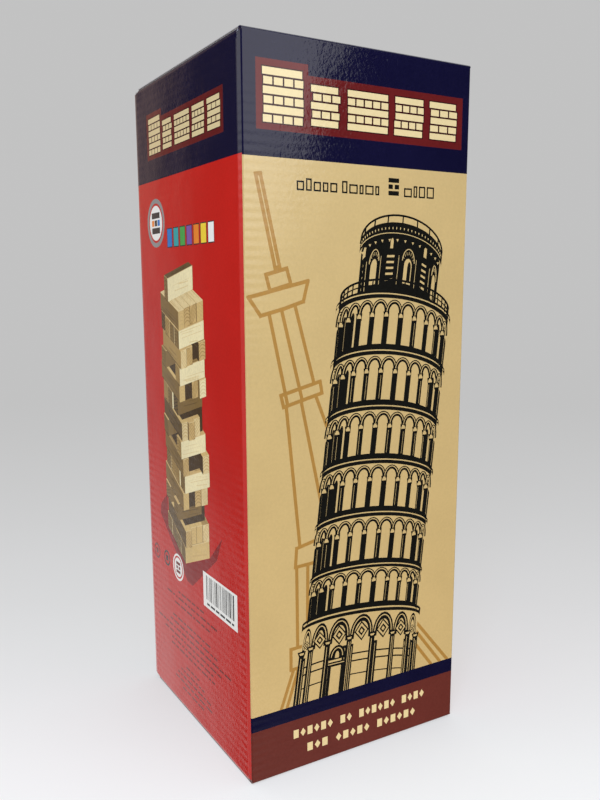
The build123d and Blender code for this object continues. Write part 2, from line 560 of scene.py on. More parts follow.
def flutes(shells, poly, place, swap=False, breaks=()):
    """Corrugated medium of a board. Its wave runs along the panel's x, or its y if swap.

    breaks are stations across the wave where the sheet may bend.
    """
    if swap:
        poly = [(y, x) for x, y in poly]

    def at(wave, across, z):
        return place(across, wave, z) if swap else place(wave, across, z)

    def direction(corner, along_wave):
        _, wave, across, _ = corner
        if along_wave:
            ahead = at(wave + PROBE, across, 0)[0]
        else:
            ahead = at(wave, across + PROBE, 0)[0]
        return (np.array(ahead) - np.array(at(wave, across, 0)[0])) / PROBE

    low = min(p[0] for p in poly) + FLUTE_INSET
    high = max(p[0] for p in poly) - FLUTE_INSET
    count = max(2, int(round((high - low) / PITCH * FLUTE_STEPS)))
    rows = []
    for i in range(count + 1):
        wave = low + (high - low) * i / count
        limits = span(poly, wave)
        if limits is None or limits[1] - limits[0] < 2 * FLUTE_INSET + 0.2:
            continue
        phase = tau * wave / PITCH
        middle = -BOARD / 2 + WAVE * sin(phase)
        slope = WAVE * cos(phase) * 2 * pi / PITCH
        steep = sqrt(1 + slope * slope)
        half = min(MEDIUM / 2 * steep, MEDIUM * 0.95)
        start, end = limits[0] + FLUTE_INSET, limits[1] - FLUTE_INSET
        stations = [start] + [q for q in breaks if start < q < end] + [end]
        if breaks and len(stations) != len(breaks) + 2:
            parts = len(breaks) + 1
            stations = [start + (end - start) * q / parts for q in range(parts + 1)]
        row = []
        for across in stations:
            for z in (middle + half, middle - half):
                z = min(max(z, -BOARD + LINER + 0.01), -LINER - 0.01)
                point, normal = at(wave, across, z)
                row.append((shells.vert(point), wave, across, normal))
        rows.append((row, slope / steep, 1 / steep))
    if len(rows) < 2:
        return

    def add(corners, normals):
        shells.facing([corner[0] for corner in corners], "fluting", normals)

    def wave_normal(row, j, sign):
        corners, rise, run = row
        out = np.array(corners[j][3]) * run - direction(corners[j], True) * rise
        return out * sign

    last = len(rows[0][0]) - 2
    for row, after in zip(rows, rows[1:]):
        a, b = row[0], after[0]
        for j in range(0, last, 2):
            for sign, ring in (
                (1, ((row, j), (after, j), (after, j + 2), (row, j + 2))),
                (-1, ((row, j + 1), (row, j + 3), (after, j + 3), (after, j + 1))),
            ):
                normals = [wave_normal(r, k, sign) for r, k in ring]
                add([r[0][k] for r, k in ring], normals)
        for j, sign in ((0, -1), (last, 1)):
            add([a[j], a[j + 1], b[j + 1], b[j]], [direction(a[j], False) * sign] * 4)
    for (a, _, _), sign in ((rows[0], -1), (rows[-1], 1)):
        normals = [direction(a[0], True) * sign] * 4
        for j in range(0, last, 2):
            add([a[j], a[j + 2], a[j + 3], a[j + 1]], normals)


def clip(poly, axis, value, keep_above):
    """Part of a convex polygon on one side of a line parallel to an axis."""
    out = []
    for p, q in zip(poly, poly[1:] + poly[:1]):
        p_in, q_in = ((r[axis] >= value) == keep_above for r in (p, q))
        if p_in:
            out.append(p)
        if p_in != q_in:
            t = (value - p[axis]) / (q[axis] - p[axis])
            out.append(tuple(p[k] + t * (q[k] - p[k]) for k in range(2)))
    return out


def outline_of(node, i, j):
    """Convex outline of a flat piece of the frame in two of its coordinates."""
    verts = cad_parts[node].data.vertices
    points = sorted({(round(v.co[i] * 1000, 3), round(v.co[j] * 1000, 3)) for v in verts})

    def half(points):
        out = []
        for x, y in points:
            while len(out) >= 2:
                (x0, y0), (x1, y1) = out[-2:]
                if (x1 - x0) * (y - y0) - (y1 - y0) * (x - x0) > 1e-9:
                    break
                out.pop()
            out.append((x, y))
        return out[:-1]

    return half(points) + half(points[::-1])


# ------------------------------------------------------------------ printed artwork
# Drawn on a grid of its own, y down from the panel's top: 2000 units high, and 732 wide on the
# narrow panels or 762 on the side panels. A drawing is a list of (ink, polygon). It holds no
# lettering: titles and text lines are rows of block pictograms and dashes.
GRID_STEP = HEIGHT / 2000
NARROW_GRID, SIDE_GRID = 732, 762
SIDE_NAVY_END = 292  # lower edge of the side panels' navy field


def to_panel(art, grid_width, width):
    """Drawing turned into panel coordinates in mm."""
    step = width / grid_width
    return [
        (color, [(x * step, HEIGHT - y * GRID_STEP) for x, y in poly]) for color, poly in art
    ]


def rect(x0, y0, x1, y1):
    return [(x0, y0), (x1, y0), (x1, y1), (x0, y1)]


def diamond(x, y, half_width, half_height):
    return [(x - half_width, y), (x, y - half_height), (x + half_width, y), (x, y + half_height)]


def taper(x, y, half0, dy0, half1, dy1):
    """Trapezium between two level edges, given by half length and offset from y."""
    return [
        (x - half0, y + dy0), (x + half0, y + dy0), (x + half1, y + dy1), (x - half1, y + dy1),
    ]


def disc(x, y, radius):
    return [(x + radius * cos(tau * i / 28), y + radius * sin(tau * i / 28)) for i in range(28)]


def stroke(color, points, width, closed=False):
    """Quads along a polyline, overlapping at its corners."""
    art = []
    half = width / 2
    ends = points[1:] + points[:1] if closed else points[1:]
    for (x0, y0), (x1, y1) in zip(points, ends):
        length = hypot(x1 - x0, y1 - y0)
        ux, uy = (x1 - x0) / length, (y1 - y0) / length
        x0, y0 = x0 - ux * half * 0.9, y0 - uy * half * 0.9
        x1, y1 = x1 + ux * half * 0.9, y1 + uy * half * 0.9
        dx, dy = uy * half, ux * half
        art.append((color, [
            (x0 - dx, y0 + dy), (x1 - dx, y1 + dy), (x1 + dx, y1 - dy), (x0 + dx, y0 - dy),
        ]))
    return art


def ribbon(points, width):
    """One smooth polygon along an open curve."""
    left, right = [], []
    half = width / 2
    for i, (x, y) in enumerate(points):
        x0, y0 = points[max(0, i - 1)]
        x1, y1 = points[min(len(points) - 1, i + 1)]
        length = hypot(x1 - x0, y1 - y0) or 1
        nx, ny = -(y1 - y0) / length, (x1 - x0) / length
        left.append((x + nx * half, y + ny * half))
        right.append((x - nx * half, y - ny * half))
    return left + right[::-1]


PLATE = (40, 67, 703, 233)  # title plate of the narrow panels: left, top, right, bottom
PLATE_OUTLINE = [(40, 67), (190, 67), (190, 93), (703, 93), (703, 233), (40, 233)]
# Stack pictograms: left, top, right, bottom, number of rows, seed for the rows' shifts
STACKS = [
    (56, 86, 180, 215, 6, 3),
    (196, 113, 288, 212, 5, 8),
    (304, 113, 444, 212, 5, 5),
    (460, 113, 566, 212, 5, 12),
    (582, 113, 686, 212, 5, 21),
]
STACK_GAP, STACK_PAD = 4.6, 5.0
PLATE_LINE = 3.0  # dark line round each block


def title(x0, y0, x1, y1):
    """Maroon plate with five little towers of crossed blocks, fitted to a box."""
    left, top, right, bottom = PLATE

    def fit(points):
        return [
            (x0 + (x - left) / (right - left) * (x1 - x0),
             y0 + (y - top) / (bottom - top) * (y1 - y0))
            for x, y in points
        ]

    boxes = []
    gap = STACK_GAP
    for stack_left, stack_top, stack_right, stack_bottom, count, seed in STACKS:
        draw = random.Random(seed)
        height = (stack_bottom - stack_top - gap * (count - 1)) / count
        for k in range(count):
            y = stack_top + k * (height + gap)
            shift = draw.uniform(-1, 1) * STACK_PAD * (1 - 0.12 * k)
            start = stack_left + STACK_PAD + shift
            end = stack_right - STACK_PAD + shift
            if k % 2:
                blocks = max(3, int(round((end - start) / 27)))
                width = (end - start - gap * (blocks - 1)) / blocks
                for j in range(blocks):
                    x = start + j * (width + gap)
                    boxes.append((x, y, x + width, y + height))
            else:
                boxes.append((start, y, end, y + height))
    art = [("maroon", fit(PLATE_OUTLINE))]
    line = PLATE_LINE
    for a, b, c, d in boxes:
        art.append(("plate_line", fit(rect(a - line, b - line, c + line, d + line))))
    art += [("cream", fit(rect(*box))) for box in boxes]
    return art


def dashes(color, start, end, y, height, seed, gap=8):
    """A line of small print as plain dashes of uneven length."""
    draw = random.Random(seed)
    art = []
    x = start
    while x < end - 12:
        width = min(draw.uniform(12, 46), end - x)
        art.append((color, rect(x, y - height / 2, x + width, y + height / 2)))
        x += width + gap
    return art


def ornament(start, end, y, groups):
    """Row of squares and diamonds in turn, split in groups of the given counts."""
    art = []
    space, height = 0.9, 26  # between groups, in units of the row's pitch; of a mark
    unit = (end - start) / (sum(groups) + space * (len(groups) - 1))
    half = unit * 0.36
    x = start
    count = 0
    for group in groups:
        for _ in range(group):
            middle = x + unit / 2
            if count % 2 == 0:
                mark = rect(middle - half, y - height / 2, middle + half, y + height / 2)
            else:
                mark = diamond(middle, y, half * 1.05, height / 2)
            art.append(("cream", mark))
            x += unit
            count += 1
        x += unit * space
    return art


# --- leaning arcaded tower. Places on it are given by a share across the drum, -1 to 1,
# and a height above the ground line.
LEAN = 0.111
TOWER_X, GROUND_Y = 356, 1799
GROUND_FOOT, GROUND_TOP = -64, 206
LEVELS = [GROUND_TOP + 10, 342, 494, 644, 794, 946, 1098]  # of the arcaded storeys
BELL_LOW, BELL_TOP = LEVELS[-1] + 6, LEVELS[-1] + 160
BELL_HALF = 138
RING_HALF = 144


def spot(across, height, half=None, arc=None):
    """Point on the drum; half is its half width, arc the rise of its level lines."""
    if half is None:
        half = 199 - 6 * min(1, height / 1100)
    if arc is None:
        arc = 28 + 39 * min(1.0, height / 1100)
    x, y = TOWER_X + height * LEAN, GROUND_Y - height
    bulge = arc * sqrt(max(0.0, 1 - min(1, across * across)))
    return (x + across * half, y + across * half * 0.094 - bulge)


def angles(limit, bays, shift=0):
    """Angles that divide the drum from -limit to limit degrees into bays."""
    limit = radians(limit)
    return [-limit + 2 * limit * (j + shift) / bays for j in range(bays + 1)]


def curve(height, half=None, arc=None, start=-1.0, end=1.0):
    """Level line round the drum."""
    t0, t1 = asin(start), asin(end)
    return [spot(sin(t0 + (t1 - t0) * i / 26), height, half, arc) for i in range(27)]


def hoop(height, width, half=None, reach=1.0, arc=None):
    return ribbon(curve(height, half, arc, -reach, reach), width)


def drum(low, high, low_half=None, high_half=None, low_arc=None, high_arc=None):
    return curve(high, high_half, high_arc) + curve(low, low_half, low_arc)[::-1]


def post(across, low, high, width, low_half=None, high_half=None):
    return ribbon([spot(across, low, low_half), spot(across, high, high_half)], width)


def slab(left, right, low, high, low_half, high_half):
    return [
        spot(left, low, low_half), spot(left, high, high_half),
        spot(right, high, high_half), spot(right, low, low_half),
    ]


def arch(left, right, floor, spring, top, half=None, steps=10):
    """Arched opening between two positions across the drum; its floor follows the drum."""
    middle, radius = (left + right) / 2, (right - left) / 2
    points = [spot(left, floor, half), spot(left, spring, half)]
    for i in range(1, steps):
        t = pi * i / steps
        points.append(spot(middle - radius * cos(t), spring + (top - spring) * sin(t), half))
    points += [spot(right, spring, half), spot(right, floor, half)]
    points += [spot(right + (left - right) * i / 4, floor, half) for i in range(1, 4)]
    return points


def arch_line(left, right, spring, top, width, half=None):
    middle, radius = (left + right) / 2, (right - left) / 2
    return ribbon([
        spot(middle - radius * cos(t), spring + (top - spring) * sin(t), half)
        for t in (pi * i / 12 for i in range(13))
    ], width)


def storey(low, high, seed):
    """Arcade of eleven bays with a ledge over it."""
    rise = high - low
    draw = random.Random(seed)

    def up(share):
        return low + rise * share

    art = [("black", drum(low, high)), ("tan", drum(up(0.60), up(0.90)))]
    bounds = angles(83, 11)
    for t0, t1 in zip(bounds, bounds[1:]):
        mid = (t0 + t1) / 2
        shade = 0.0
        if mid < -0.55:
            shade = min(1.0, (-0.55 - mid) / 0.55)
        if mid > 0.95:
            shade = min(1.0, (mid - 0.95) / 0.5)
        # moulded arch
        start, end = sin(t0), sin(t1)
        spring, crown = up(0.655), up(0.835)
        wide = end - start
        if wide * 195 > 9:
            left, right = start + wide * 0.04, end - wide * 0.04
            art.append(("black", arch_line(left, right, spring, crown, 12.5)))
            left, right = start + wide * 0.01, end - wide * 0.01
            art.append(("tan", arch_line(left, right, spring, crown + 1.6, 2.6)))
        else:
            art.append(("black", arch_line(start, end, spring, crown, 7.0)))
        # opening, with a shadow towards the drum's edges
        inset = 0.19 + 0.15 * shade
        left, right = sin(t0 + (t1 - t0) * inset), sin(t1 - (t1 - t0) * inset)
        art.append(("tan", arch(left, right, up(0.085), up(0.63), up(0.735))))
        if shade > 0.10 and (right - left) * 195 > 3:
            right = left + (right - left) * (0.45 + 0.5 * shade)
            art.append(("black", arch(left, right, up(0.085), up(0.60), up(0.70), steps=6)))
    for t in bounds[1:-1]:
        if abs(t) > radians(83) * 0.93:
            continue
        # column with a hair line, and a bell-shaped head
        across = sin(t)
        if draw.random() < 0.6:
            side = across + draw.choice((-0.012, 0.012))
            art.append(("tan", post(side, up(0.10), up(0.52), 1.1)))
        x, y = spot(across, up(0.60))
        art += [
            ("black", taper(x, y, 10.5, -9, 8, 11)),
            ("tan", taper(x, y, 6.6, -1.5, 7.2, 5.0)),
            ("tan", taper(x, y, 3.4, -6.5, 5.0, -1.5)),
        ]
    ledge = 196 * 1.03
    shadow = [curve(high - rise * k, start=-0.55, end=0.35) for k in (0.095, 0.045)]
    art += [
        ("black", drum(high - rise * 0.06, high + 4, ledge, ledge)),
        ("tan", hoop(high - rise * 0.028, 3.4, ledge, 0.985)),
        ("black", hoop(up(0.905), 3.0, reach=0.985)),
        ("black", shadow[0] + shadow[1][::-1]),
    ]
    return art


# Shaded strips of the ground storey: bay, and where in the bay they start and end
GROUND_SHADES = (
    (0, 0.20, 0.60), (2, 0.74, 0.94), (3, 0.06, 0.20), (4, 0.06, 0.26), (5, 0.74, 0.90),
    (6, 0.30, 0.75),
)


def ground_storey():
    """Blind arcade on slim columns, seven bays, with a doorway and a ledge."""
    foot = GROUND_FOOT
    art = [("tan", drum(foot, GROUND_TOP, 214, 206))]
    bounds = angles(80, 7)
    for height, width in ((78, 4.6), (56, 4.6), (16, 3.6)):
        art.append(("black", hoop(height, width, 210, 0.98)))
    for t0, t1 in zip(bounds, bounds[1:]):
        left, right = sin(t0), sin(t1)
        wide = (right - left) * 208
        inset = min(1, wide / 60)
        line, inner = 0.035 * inset, 0.075 * inset
        art += [
            ("black", arch(left, right, 122, 134, 193, 208)),
            ("tan", arch_line(left + line, right - line, 136, 184, 3.0, 208)),
            ("tan", arch(left + inner, right - inner, 118, 134, 172, 208)),
        ]
        if wide > 20:
            x, y = spot((left + right) / 2, 143, 208)
            size = 26 * min(1, wide / 66)
            for k, color in ((1.0, "black"), (0.78, "tan"), (0.50, "black"), (0.24, "tan")):
                art.append((color, diamond(x, y, size * k, size * 1.2 * k)))
    for j, t in enumerate(bounds):
        across = sin(t)
        art.append(("black", [
            spot(across - 0.050, foot, 213), spot(across - 0.044, 124, 208),
            spot(across + 0.044, 124, 208), spot(across + 0.050, foot, 213),
        ]))
        art.append(("tan", post(across - 0.008, foot, 116, 2.0, 213, 208)))
        if j % 2:
            art.append(("tan", post(across + 0.020, foot, 116, 1.4, 213, 208)))
        x, y = spot(across, 127, 208)
        art.append(("black", taper(x, y, 14, -8, 9, 8)))
        art.append(("tan", taper(x, y, 8, -3, 5, 3)))
    for bay, start, end in GROUND_SHADES:
        t0, t1 = bounds[bay], bounds[bay + 1]
        left, right = sin(t0 + (t1 - t0) * start), sin(t0 + (t1 - t0) * end)
        art.append(("black", slab(left, right, foot, 108, 213, 208)))
        art.append(("tan", post((left + right) / 2, foot, 100, 1.6, 213, 208)))
    # doorway between two columns
    left, right = sin(bounds[2]) + 0.10, sin(bounds[3]) - 0.10
    outer_left, outer_right = left - 0.05, right + 0.05
    lintel = [spot(outer_left, 60, 210), spot(outer_right, 60, 210)]
    art += [
        ("black", slab(outer_left, outer_right, foot, 66, 213, 210)),
        ("tan", slab(left, right, foot, 52, 213, 210)),
        ("tan", ribbon(lintel, 2.6)),
        ("black", arch(outer_left, outer_right, 72, 80, 114, 210)),
        ("tan", arch_line(left - 0.01, right + 0.01, 80, 106, 2.8, 210)),
        ("tan", arch(left + 0.05, right - 0.05, 76, 82, 96, 210)),
        # ledge
        ("black", drum(GROUND_TOP - 10, GROUND_TOP + 12, 213, 213)),
        ("tan", hoop(GROUND_TOP + 2, 4.6, 212, 0.98)),
    ]
    return art


def bell_chamber():
    """Dark drum with arched bays and banded piers in turn."""
    low, half = BELL_LOW, BELL_HALF
    art = [("black", drum(low - 40, BELL_TOP, half, half, 58, 66))]
    bounds = angles(80, 6)
    for j in range(6):
        t0, t1 = bounds[j], bounds[j + 1]
        left, right = sin(t0 + (t1 - t0) * 0.14), sin(t1 - (t1 - t0) * 0.14)
        middle, wide = (left + right) / 2, right - left
        if j % 2:
            inset = wide * 0.20
            opening = arch(left + inset, right - inset, low + 22, low + 72, low + 92, half)
            art.append(("tan", opening))
            if j == 3:
                end = right - inset - 0.02
                shadow = arch(middle - 0.01, end, low + 26, low + 68, low + 84, half, 6)
                art.append(("black", shadow))
            line = arch_line(left + 0.01, right - 0.01, low + 84, low + 118, 2.6, half)
            art.append(("tan", line))
            for k in range(7):
                t = pi * (k + 1) / 8
                art.append(("tan", ribbon([
                    spot(middle - wide * 0.36 * cos(t), low + 82 + 20 * sin(t), half),
                    spot(middle - wide * 0.46 * cos(t), low + 84 + 27 * sin(t), half),
                ], 1.4)))
        else:
            # banded pier with a slit window over it
            for k in range(5):
                base = low + 26 + k * 16
                art.append(("tan", [
                    spot(left + 0.07, base, half), spot(right - 0.07, base, half),
                    spot(right - 0.07, base + 6, half), spot(left + 0.07, base + 6, half),
                ]))
            slit = (middle - 0.035, middle + 0.035, low + 114, low + 132, low + 142)
            art.append(("tan", arch(*slit, half, 6)))
        if j < 5:
            art.append(("tan", post(sin(t1) - 0.02, low + 16, low + 96, 1.6, half, half)))
    for t in angles(80, 14, 0.5)[:14]:
        x, y = spot(sin(t), BELL_TOP - 16, half, 66)
        art.append(("tan", [(x - 4.2, y - 2.5), (x + 4.2, y - 2.5), (x, y + 5)]))
    return art


def tower_rails():
    """Gallery rail before the bell chamber, and the corbelled ring and low rail above it."""
    top, ring = LEVELS[-1], BELL_TOP
    art = [
        ("black", hoop(top + 34, 6.0, 190, arc=67)),
        ("black", hoop(top + 19, 3.6, 191, arc=67)),
    ]
    for t in angles(86, 20):
        ends = [spot(sin(t), top + 2, 192, 67), spot(sin(t), top + 34, 190, 67)]
        art.append(("black", ribbon(ends, 4.4)))
    art.append(("black", drum(ring - 8, ring + 20, RING_HALF, RING_HALF, 64, 78)))
    art.append(("tan", hoop(ring, 2.2, RING_HALF, 0.97, 69)))
    for t in angles(80, 30, 0.5)[:30]:
        x, y = spot(sin(t), ring + 9, RING_HALF, 73)
        art.append(("tan", rect(x - 1.4, y - 2.8, x + 1.4, y + 2.8)))
    rail_low, rail_top, rail_half = ring + 22 - 6, ring + 32, RING_HALF - 2
    art.append(("black", hoop(rail_top, 5.6, rail_half, arc=85)))
    for t in angles(84, 8):
        ends = [spot(sin(t), rail_low, RING_HALF, 78), spot(sin(t), rail_top, rail_half, 85)]
        art.append(("black", ribbon(ends, 4.6)))
    return art


def leaning_tower():
    art = ground_storey() + bell_chamber()
    for seed, (low, high) in enumerate(zip(LEVELS, LEVELS[1:])):
        art += storey(low, high, seed)
    return art + tower_rails()


# Lines of the mast behind the tower: closed or not, points
MAST = [
    (True, [(37, 340), (50, 338), (103, 566), (90, 570)]),
    (True, [(63, 586), (124, 570), (136, 610), (74, 627)]),
    (True, [(12, 643), (188, 602), (174, 655), (116, 673), (46, 690)]),
    (False, [(72, 690), (124, 926)]),
    (False, [(108, 676), (168, 912)]),
    (False, [(148, 664), (206, 872)]),
    (True, [(104, 900), (226, 870), (232, 902), (112, 932)]),
    (False, [(120, 932), (160, 1322)]),
    (False, [(166, 920), (236, 1240)]),
    (False, [(212, 908), (262, 1030)]),
    (True, [(150, 1330), (232, 1312), (226, 1380), (146, 1384)]),
    (False, [(150, 1386), (152, 1622)]),
    (False, [(186, 1384), (184, 1622)]),
    (True, [(130, 1624), (196, 1622), (196, 1684), (130, 1686)]),
    (False, [(138, 1688), (98, 1796)]),
    (False, [(154, 1688), (117, 1796)]),
    (False, [(575, 1640), (706, 1796)]),
    (False, [(566, 1702), (640, 1796)]),
    (False, [(552, 1640), (676, 1796)]),
]


def narrow_art():
    """Print of the front and back panels."""
    art = [("navy", rect(-60, -60, 800, 297))]
    art += title(*PLATE)
    for closed, points in MAST:
        art += stroke("gold", points, 10.4, closed)
    # under the title: block ends of uneven length round a little stack
    draw = random.Random(77)
    for start, end in ((155, 428), (500, 606)):
        x = start
        while x < end - 8:
            width = min(draw.choice((13, 17, 22, 27)), end - x)
            top = 349 if draw.random() < 0.75 else 342
            art += stroke("black", rect(x + 2, top + 2, x + width - 2, 371), 4.4, True)
            x += width + draw.choice((6, 6, 6, 15))
    for x0, x1, y in ((446, 482, 325), (446, 461, 342), (467, 482, 342), (446, 482, 359)):
        art.append(("black", rect(x0, y, x1, y + 12)))
    art += leaning_tower()
    art.append(("navy", rect(-60, 1798, 800, 1843)))
    art.append(("base_maroon", rect(-60, 1843, 800, 2100)))
    art += ornament(134, 618, 1888, [6, 2, 6, 4])
    art += ornament(180, 584, 1941, [3, 5, 6])
    return art


# --- block tower picture of the side panels. The picture's blocks are 100 long, 25 apart and
# 20 high; a and b run along the ground to the right and to the left from the near corner.
NEAR_X, NEAR_Y = 322, 1482
DARKER = {
    "w0": "w1", "w1": "w2", "w2": "w3", "w6": "w2", "w3": "w4", "w4": "w7", "w7": "w5",
    "w5": "w7",
}
# Layers from the ground: the slots kept, and how far single blocks stand out
LAYER_PLAN = [
    ([0, 1, 2, 3], {}),
    ([0, 1, 2, 3], {0: -6}),
    ([1, 3], {1: -4}),
    ([0, 2, 3], {2: 3}),
    ([0, 1, 2, 3], {0: 4}),
    ([0, 3], {3: -8}),
    ([0, 3], {0: -3}),
    ([0, 1, 2], {1: -5}),
    ([1, 2, 3], {1: 5}),
    ([0, 2, 3], {0: 4, 3: -7}),
    ([0, 3], {3: -2}),
    ([0, 1, 3], {0: -3}),
    ([0, 1, 2, 3], {2: -3}),
    ([0, 1, 2, 3], {1: 2}),
]


def project(a, b, z):
    """Point of the picture's space on the drawing grid."""
    up = z / 280
    return (
        NEAR_X + a * 1.88 - b * 1.43,
        NEAR_Y + a * (-0.74 + 0.37 * up) + b * (-0.88 + 0.30 * up) - z * 2.832,
    )


def drawn_block(length, side, heights, seed, along_a, gap, top_ink=None):
    """Block from (start, end) of its length, its width and its height.

    along_a: its length runs along a. gap: the slot before its visible side is open.
    """
    draw = random.Random(seed)
    (l0, l1), (s0, s1), (z0, z1) = length, side, heights
    (a0, a1), (b0, b1) = (length, side) if along_a else (side, length)

    def at(along, across, z):
        return project(along, across, z) if along_a else project(across, along, z)

    top = top_ink or draw.choice(["w2", "w6", "w2", "w3"])
    if along_a:
        right = "w4" if gap else draw.choice(["w0", "w1", "w0", "w6"])
        left = draw.choice(["w4", "w7", "w4", "w3"])
        side_ink, end_ink = right, left
    else:
        right = draw.choice(["w0", "w1", "w6", "w2"])
        left = "w5" if gap else draw.choice(["w4", "w3", "w4", "w7"])
        side_ink, end_ink = left, right
    foot, left_foot, right_foot = project(a0, b0, z0), project(a0, b1, z0), project(a1, b0, z0)
    near, left_top, right_top = project(a0, b0, z1), project(a0, b1, z1), project(a1, b0, z1)
    art = [
        (top, [near, right_top, project(a1, b1, z1), left_top]),
        (right, [foot, right_foot, right_top, near]),
        (left, [foot, left_foot, left_top, near]),
    ]
    # grain streaks on the side and the top
    for _ in range(4):
        share = draw.uniform(0.10, 0.90)
        thin = draw.uniform(0.015, 0.05)
        z = z0 + (z1 - z0) * share
        start = l0 + (l1 - l0) * draw.uniform(0.02, 0.5)
        end = l0 + (l1 - l0) * draw.uniform(0.6, 0.98)
        dz = (z1 - z0) * thin
        art.append((DARKER[side_ink], [
            at(start, s0, z), at(end, s0, z - dz * 2), at(end, s0, z - dz), at(start, s0, z + dz),
        ]))
        across = s0 + (s1 - s0) * share
        once, twice = across + (s1 - s0) * thin, across + (s1 - s0) * thin * 2
        if along_a:
            ring = [(start, across), (end, across), (end, once), (start, twice)]
        else:
            ring = [(start, across), (start, once), (end, twice), (end, across)]
        art.append((DARKER[top], [at(*p, z1) for p in ring]))
    # end grain: slanting or arched growth rings
    slant = draw.uniform(-1.3, 1.3)
    for ring in (0.12, 0.34, 0.55, 0.76, 0.93):
        points = []
        for i in range(7):
            t = i / 6
            if abs(slant) > 0.5:
                up = ring + slant * (t - 0.5) * 0.8
            else:
                up = ring * 0.9 + 0.16 * sin(pi * t)
            up = min(max(up, 0.02), 0.98)
            points.append(at(l0, s0 + (s1 - s0) * t, z0 + (z1 - z0) * up))
        art.append((DARKER[end_ink], ribbon(points, 2.6)))
    # lit and dark edges
    art += [
        ("w1", ribbon([near, right_top], 1.8)),
        ("w2", ribbon([near, left_top], 1.6)),
        ("w5", ribbon([foot, left_foot], 1.8)),
        ("w7", ribbon([right_foot, right_top], 1.4)),
    ]
    return art


def block_picture():
    draw = random.Random(11)
    foot = project(0, 0, 0)
    art = [
        ("shade_red", [
            foot, project(100, 0, 0), (600, 1322), (560, 1400), (372, 1540), (322, 1500),
        ]),
        ("shade_red", [
            foot, project(0, 100, 0), project(0, 100, 40), (120, 1330), (112, 1366),
            (330, 1536), (372, 1540),
        ]),
    ]
    for k, (slots, shifts) in enumerate(LAYER_PLAN):
        low, high = heights = (k * 20, k * 20 + 19.3)
        wobble = draw.uniform(-4.0, 4.0)
        if len(slots) < 4:
            # the dark inside of a layer with slots left open
            art.append(("w5", [
                project(9, 9, low), project(91, 9, low), project(91, 9, high),
                project(91, 91, high), project(9, 91, high), project(9, 91, low),
            ]))
        for slot in sorted(slots, reverse=True):
            shift = shifts.get(slot, 0) + draw.uniform(-1.2, 1.2)
            art += drawn_block(
                (shift + wobble, 100 + shift + wobble), (slot * 25 + 0.5, slot * 25 + 24.5),
                heights, seed=100 * k + slot, along_a=k % 2 == 0,
                gap=slot > 0 and slot - 1 not in slots,
                top_ink="w1" if k == len(LAYER_PLAN) - 1 else None,
            )
    # last block set on its narrow side
    art += drawn_block((-4, 100), (52, 72), (280, 305), 9001, True, False, "w7")
    return art


# Small print of the side panels: y, start, end
SMALL_PRINT = (
    (1600, 250, 455), (1622, 150, 560), (1645, 215, 500), (1695, 195, 510), (1717, 170, 560),
    (1739, 60, 640), (1761, 120, 590), (1782, 180, 520), (1803, 175, 525), (1845, 300, 405),
    (1867, 255, 460), (1888, 225, 490), (1909, 205, 515), (1931, 265, 440),
)


def side_art():
    """Print of the side panels."""
    art = [("navy", rect(-60, -60, 830, SIDE_NAVY_END))]
    art += title(105, 92, 660, 228)
    # plain badge and a row of coloured squares
    art += [
        ("grey", disc(158, 420, 74)),
        ("red", disc(158, 420, 60)),
        ("white", disc(158, 420, 53)),
        ("charcoal", rect(124, 388, 192, 406)),
        ("c_orange", rect(124, 411, 144, 429)),
        ("charcoal", rect(148, 411, 168, 429)),
        ("c_blue", rect(172, 411, 192, 429)),
        ("charcoal", rect(124, 434, 192, 452)),
    ]
    squares = ["c_blue", "c_teal", "c_green", "c_violet", "c_orange", "c_yellow", "white"]
    for i, color in enumerate(squares):
        x = 252 + i * 50
        art.append(("charcoal", rect(x - 3, 441, x + 39, 499)))
        art.append((color, rect(x, 444, x + 36, 496)))
    art += block_picture()
    # plain rings in place of marks
    for x, color in ((66, "print_dark"), (157, "charcoal")):
        art.append((color, disc(x, 1512, 27)))
        art.append(("red", disc(x, 1512, 20)))
        art.append((color, rect(x - 9, 1503, x + 9, 1521)))
    art += [
        ("white", disc(255, 1515, 45)),
        ("red", disc(255, 1515, 38)),
        ("white", disc(255, 1515, 32)),
        ("print_dark", rect(238, 1497, 272, 1507)),
        ("print_dark", rect(238, 1511, 252, 1521)),
        ("print_dark", rect(258, 1511, 272, 1521)),
        ("print_dark", rect(238, 1525, 272, 1535)),
        # label with bars that stand for nothing
        ("white", rect(456, 1462, 690, 1572)),
    ]
    draw = random.Random(5)
    x = 478
    while x < 672:
        width = draw.choice((3.0, 3.0, 5.5, 8.0))
        art.append(("charcoal", rect(x, 1470, x + width, 1546)))
        x += width + draw.choice((3.2, 3.2, 5.5, 8.0))
    art += dashes("charcoal", 482, 670, 1559, 7, seed=3, gap=6)
    for seed, (y, start, end) in enumerate(SMALL_PRINT, 21):
        art += dashes("print_dark", start, end, y, 6.0, seed)
    return art


# ------------------------------------------------------------------ the four walls
# Upright crease: a tight arc off the narrow panel, a slightly tilted strip, then a small bead
ARC_RADIUS = 0.65
ARC_START = 0.95  # from the sharp corner along the narrow panel
ARC_STEPS = 7
TILT = radians(6.4)
STRIP = 2.4


